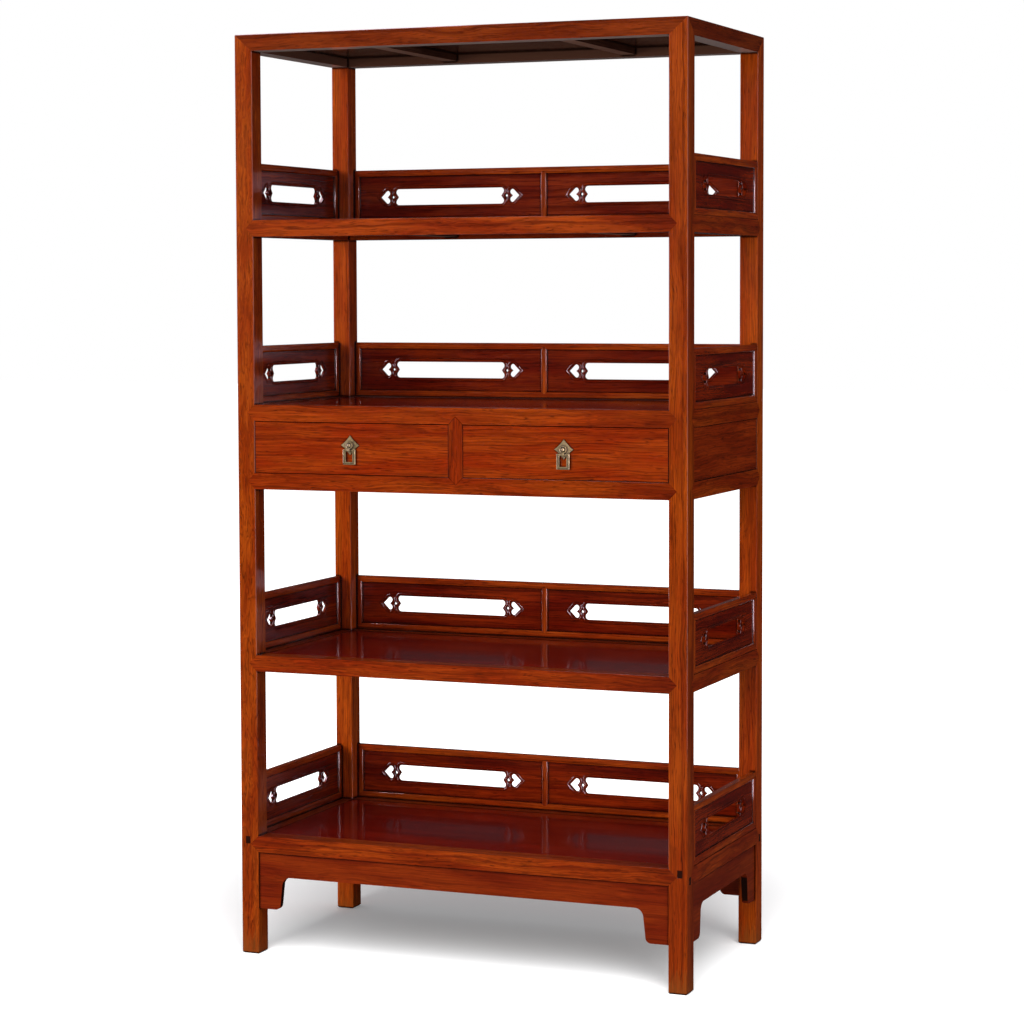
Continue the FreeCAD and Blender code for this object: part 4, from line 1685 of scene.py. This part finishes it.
    def bail(self) -> bpy.types.Object:
        """Flat rectangular bail with raised rims, and the round bar at its head.

        Returns:
            The bail.
        """
        low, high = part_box("bail_left")
        pin_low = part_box("pull_pin_left")[0]
        axis = Vector(((low.x + high.x) / 2, (low.y + high.y) / 2, pin_low.z + self.lug_radius))
        low.x += self.side_trim
        high.x -= self.side_trim
        slab_low = Vector((low.x, axis.y - self.half_thickness, low.z))
        slab_high = Vector((high.x, axis.y + self.half_thickness, high.z))
        piece = bar("bail", slab_low, slab_high)
        half_window = self.window_width / 2
        window_low = Vector((axis.x - half_window, low.y - MM, low.z + self.foot_height))
        window = bar("window", window_low, Vector((axis.x + half_window, high.y + MM, high.z + MM)))
        carve(piece, window)
        ease(
            piece,
            self.corner_radius,
            self.edge_facets,
            lambda co: min(abs(co.x - low.x), abs(co.x - high.x)) < TOUCH
            and min(abs(co.z - low.z), abs(co.z - high.z)) < TOUCH,
        )
        self.groove(piece, slab_low, slab_high)
        ease(piece, self.bail_arris, self.arris_facets)
        length = self.window_width + 2 * self.bar_seat
        head = rod("bar", axis, self.bar_radius, length, Grain.ACROSS, self.sides)
        return joined("bail", [piece, head])

    def groove(self, piece: bpy.types.Object, low: Vector, high: Vector) -> None:
        """Cut a groove into the front of each arm and of the foot, between two rims.

        Args:
            piece: The bail's flat slab with its window.
            low: Lowest corner of the slab.
            high: Highest corner of the slab.
        """
        rim = self.rim_width
        arm = (high.x - low.x - self.window_width) / 2
        bottom = low.y + self.rim_depth
        foot_top = low.z + self.foot_height - rim
        stretches = (
            (low.x + rim, low.x + arm - rim, high.z - rim),
            (high.x - arm + rim, high.x - rim, high.z - rim),
            (low.x + rim, high.x - rim, foot_top),
        )
        for left, right, top in stretches:
            cut_low = Vector((left, low.y - MM, low.z + rim))
            carve(piece, bar("groove", cut_low, Vector((right, bottom, top))))


class Lights(Enum):
    """What a lamp lights."""

    PIECE = "the object's diffuse light"
    FLOOR = "the floor alone"
    GLOSS = "the object's gloss"
    BEADS = "the gloss of beads, brass and shelves"


@dataclass(frozen=True)
class Lamp:
    """One soft rectangular lamp: place and size in metres, watts, colour, what it lights."""

    name: str
    place: tuple[float, float, float]
    size: tuple[float, float]
    watts: float
    colour: str
    lights: Lights


# Lamps for the piece, one that shades the floor, and some that only the gloss shows.
LAMPS = (
    Lamp("key_lamp", (-3.6, -8.0, 2.4), (4.0, 3.4), 490.0, "fffaf4", Lights.PIECE),
    Lamp("side_lamp", (6.5, -2.0, 2.2), (2.4, 2.4), 60.0, "f6f0ff", Lights.PIECE),
    Lamp("back_lamp", (-2.6, 6.0, 2.2), (3.0, 3.0), 150.0, "f8f8ff", Lights.PIECE),
    Lamp("top_lamp", (-0.4, -0.6, 6.0), (3.0, 3.0), 90.0, "ffffff", Lights.PIECE),
    Lamp("floor_lamp", (1.6, -3.9, 4.2), (5.6, 5.6), 800.0, "ffffff", Lights.FLOOR),
    Lamp("soft_panel", (2.3, -1.9, 1.1), (3.0, 2.6), 70.0, "f4e6ec", Lights.GLOSS),
    Lamp("front_strip", (1.25, -2.0, 0.97), (0.6, 1.9), 150.0, "f4e0f4", Lights.BEADS),
    Lamp("left_panel", (-2.4, 1.2, 1.2), (1.8, 2.6), 50.0, "f4e6ec", Lights.GLOSS),
    Lamp("right_strip", (1.8, -0.88, 0.97), (0.3, 1.9), 45.0, "f4e0f4", Lights.BEADS),
    Lamp("left_strip", (-1.6, -0.45, 1.35), (0.35, 2.5), 100.0, "f4e0f4", Lights.BEADS),
    Lamp("upper_strip", (-0.8, -0.4, 3.3), (1.8, 0.6), 45.0, "ffe6f4", Lights.GLOSS),
)


@dataclass
class Studio:
    """Pale floor, soft lamps, plain surroundings and the camera."""

    target_height: float = 0.9
    floor_size: float = 60.0
    near_floor: float = 0.65
    far_floor: float = 1.9
    near_glow: float = 0.15
    gleam: float = 0.012
    gleam_behind: float = 0.05
    gleam_tint: tuple[float, float, float] = (1.0, 0.92, 1.0)
    side_fade: tuple[float, float] = (0.3, 0.6)
    side_share: float = 0.1
    surround_grey: Colour = (0.33, 0.33, 0.34, 1.0)
    floor_grey: Colour = (0.36, 0.35, 0.36, 1.0)
    floor_in_gloss: Colour = (0.02, 0.02, 0.02, 1.0)
    floor_white: Colour = (0.9, 0.9, 0.9, 1.0)
    sight_limit: float = 100.0
    camera_place: Vector = field(default_factory=lambda: Vector((2.07055, -5.03191, 1.30333)))
    yaw: float = 0.3867
    pitch: float = 0.0631
    roll: float = -0.0030
    focal_px: float = 2768.25
    centre_row_px: float = 466.0
    picture_px: float = 1024.0
    sensor_width: float = 36.0
    floor_piece: bpy.types.Object | None = field(init=False, default=None)

    def build(self) -> None:
        """Set up the surroundings, the floor, the lamps and the camera."""
        self.floor()
        self.surroundings()
        self.lamps()
        self.camera()
        LOG.info("set up the studio")

    def floor(self) -> None:
        """Floor that shows white where it is lit, keeps the shadow and fades to white far off."""
        deselect()
        bpy.ops.mesh.primitive_plane_add(size=self.floor_size)
        piece = bpy.context.active_object
        piece.name = "floor"
        self.floor_piece = piece
        material = bpy.data.materials.new("painted_white_floor")
        tree = blank_tree(material)
        place = add(tree, "ShaderNodeTexCoord").node.outputs["Object"]
        away = add(tree, "ShaderNodeVectorMath", {0: place}, operation="LENGTH").node.outputs[1]
        strength = add(
            tree,
            "ShaderNodeMapRange",
            {0: away, 1: self.near_floor, 2: self.far_floor, 3: self.near_glow, 4: 1.0},
            interpolation_type="SMOOTHSTEP",
        )
        path = add(tree, "ShaderNodeLightPath").node.outputs
        shade = add(
            tree,
            "ShaderNodeMix",
            {0: path["Is Glossy Ray"], 6: self.floor_grey, 7: self.floor_in_gloss},
            data_type="RGBA",
        )
        dim = add(tree, "ShaderNodeBsdfDiffuse", {"Color": shade})
        bright = add(tree, "ShaderNodeBsdfDiffuse", {"Color": self.floor_white})
        glow = add(tree, "ShaderNodeEmission", {"Color": WHITE, "Strength": strength})
        white = add(tree, "ShaderNodeAddShader", {0: bright, 1: glow})
        mixed = add(tree, "ShaderNodeMixShader", {0: path["Is Camera Ray"], 1: dim, 2: white})
        add(tree, "ShaderNodeOutputMaterial", {0: mixed})
        dress(piece, material)

    def surroundings(self) -> None:
        """World that is white to the eye, grey to the light and nearly dark to the gloss.

        It isn't sampled as a lamp, because such a sample has no kind of ray to tell gloss by.
        """
        world = bpy.data.worlds.new("white_studio")
        bpy.context.scene.world = world
        world.cycles.sampling_method = "NONE"
        world.use_nodes = True
        tree = world.node_tree
        tree.nodes.clear()
        way = add(tree, "ShaderNodeTexCoord").node.outputs["Generated"]
        across = add(tree, "ShaderNodeSeparateXYZ", {0: way}).node.outputs
        behind = add(
            tree,
            "ShaderNodeMapRange",
            {0: across[1], 1: -0.3, 2: 0.6, 3: 0.0, 4: 1.0},
            interpolation_type="SMOOTHSTEP",
        )
        right = (math.cos(self.yaw), math.sin(self.yaw), 0.0)
        aside = add(
            tree, "ShaderNodeVectorMath", {0: way, 1: right}, operation="DOT_PRODUCT"
        ).node.outputs[1]
        lighter = add(
            tree,
            "ShaderNodeMapRange",
            {0: aside, 1: -0.1, 2: 0.1, 3: self.gleam, 4: self.gleam_behind},
            interpolation_type="SMOOTHSTEP",
        )
        near, far = self.side_fade
        fade = {0: aside, 1: near, 2: far, 3: 1.0, 4: self.side_share}
        beside = add(tree, "ShaderNodeMapRange", fade)
        faded = add(tree, "ShaderNodeMath", {0: lighter, 1: beside}, operation="MULTIPLY")
        gleam = add(
            tree, "ShaderNodeMath", {0: behind, 1: faded, 2: self.gleam}, operation="MULTIPLY_ADD"
        )
        tint = add(
            tree, "ShaderNodeVectorMath", {0: self.gleam_tint, "Scale": gleam}, operation="SCALE"
        )
        path = add(tree, "ShaderNodeLightPath").node.outputs
        soft = add(
            tree,
            "ShaderNodeMix",
            {0: path["Is Glossy Ray"], 6: self.surround_grey, 7: tint},
            data_type="RGBA",
        )
        clear = add(
            tree,
            "ShaderNodeMath",
            {0: path["Is Camera Ray"], 1: path["Is Transmission Ray"]},
            operation="MAXIMUM",
        )
        shown = add(
            tree, "ShaderNodeMix", {0: clear, 6: soft, 7: WHITE}, data_type="RGBA"
        )
        light = add(tree, "ShaderNodeBackground", {"Color": shown, "Strength": 1.0})
        add(tree, "ShaderNodeOutputWorld", {0: light})

    def lamp(self, plan: Lamp) -> None:
        """Hang one lamp, aimed at the middle of the bookshelf, and say what it lights.

        Args:
            plan: The lamp's values.
        """
        data = bpy.data.lights.new(plan.name, "AREA")
        data.shape = "RECTANGLE"
        data.size, data.size_y = plan.size
        data.energy = plan.watts
        data.color = linear(plan.colour)[:3]
        lamp = bpy.data.objects.new(plan.name, data)
        bpy.context.scene.collection.objects.link(lamp)
        lamp.location = plan.place
        aim = Vector((0.0, 0.0, self.target_height)) - Vector(plan.place)
        lamp.rotation_mode = "QUATERNION"
        lamp.rotation_quaternion = aim.to_track_quat("-Z", "Y")
        lamp.visible_camera = False
        lamp.visible_glossy = plan.lights in (Lights.GLOSS, Lights.BEADS)
        lamp.visible_diffuse = not lamp.visible_glossy
        receivers = bpy.data.collections.new(f"{plan.name}_receivers")
        receivers.objects.link(self.floor_piece)
        lamp.light_linking.receiver_collection = receivers
        if plan.lights is Lights.FLOOR:
            return
        if plan.lights is Lights.BEADS:
            for node in self.broad_boards():
                receivers.objects.link(node)
        for linked in receivers.collection_objects:
            linked.light_linking.link_state = "EXCLUDE"

    def broad_boards(self) -> list[bpy.types.Object]:
        """Posts, rails, fronts and aprons, whose flat faces would mirror a strip as one glare."""
        shelves = [f"{level}_panel" for level in LEVELS]
        return [node for name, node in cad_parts.items() if name not in shelves]

    def lamps(self) -> None:
        """Hang every lamp of the studio."""
        for plan in LAMPS:
            self.lamp(plan)

    def camera(self) -> None:
        """Camera at the photograph's place, angle and frame."""
        right = Vector((math.cos(self.yaw), math.sin(self.yaw), 0.0))
        level = Vector((-math.sin(self.yaw), math.cos(self.yaw), 0.0))
        upright = Vector((0.0, 0.0, 1.0))
        forward = level * math.cos(self.pitch) - upright * math.sin(self.pitch)
        above = upright * math.cos(self.pitch) + level * math.sin(self.pitch)
        camera_x = right * math.cos(self.roll) + above * math.sin(self.roll)
        camera_y = above * math.cos(self.roll) - right * math.sin(self.roll)
        data = bpy.data.cameras.new("camera")
        data.sensor_width = self.sensor_width
        data.lens = self.focal_px * self.sensor_width / self.picture_px
        data.shift_y = (self.centre_row_px - self.picture_px / 2) / self.picture_px
        data.clip_end = self.sight_limit
        eye = bpy.data.objects.new("camera", data)
        bpy.context.scene.collection.objects.link(eye)
        turned = Matrix((camera_x, camera_y, -forward)).transposed().to_4x4()
        eye.matrix_world = Matrix.Translation(self.camera_place) @ turned
        bpy.context.scene.camera = eye


def main() -> None:
    """Build every sub-assembly in order."""
    logging.basicConfig(level=logging.INFO, format="%(name)s: %(message)s")
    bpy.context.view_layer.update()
    Studio().build()
    assemblies = (Posts, Frames, Shelves, DrawerCase, Aprons, Drawers, Galleries, Pulls)
    for assembly in assemblies:
        assembly().build()
    scene = bpy.context.scene
    scene.view_settings.view_transform = "Standard"
    deselect()


if __name__ == "__main__":
    main()
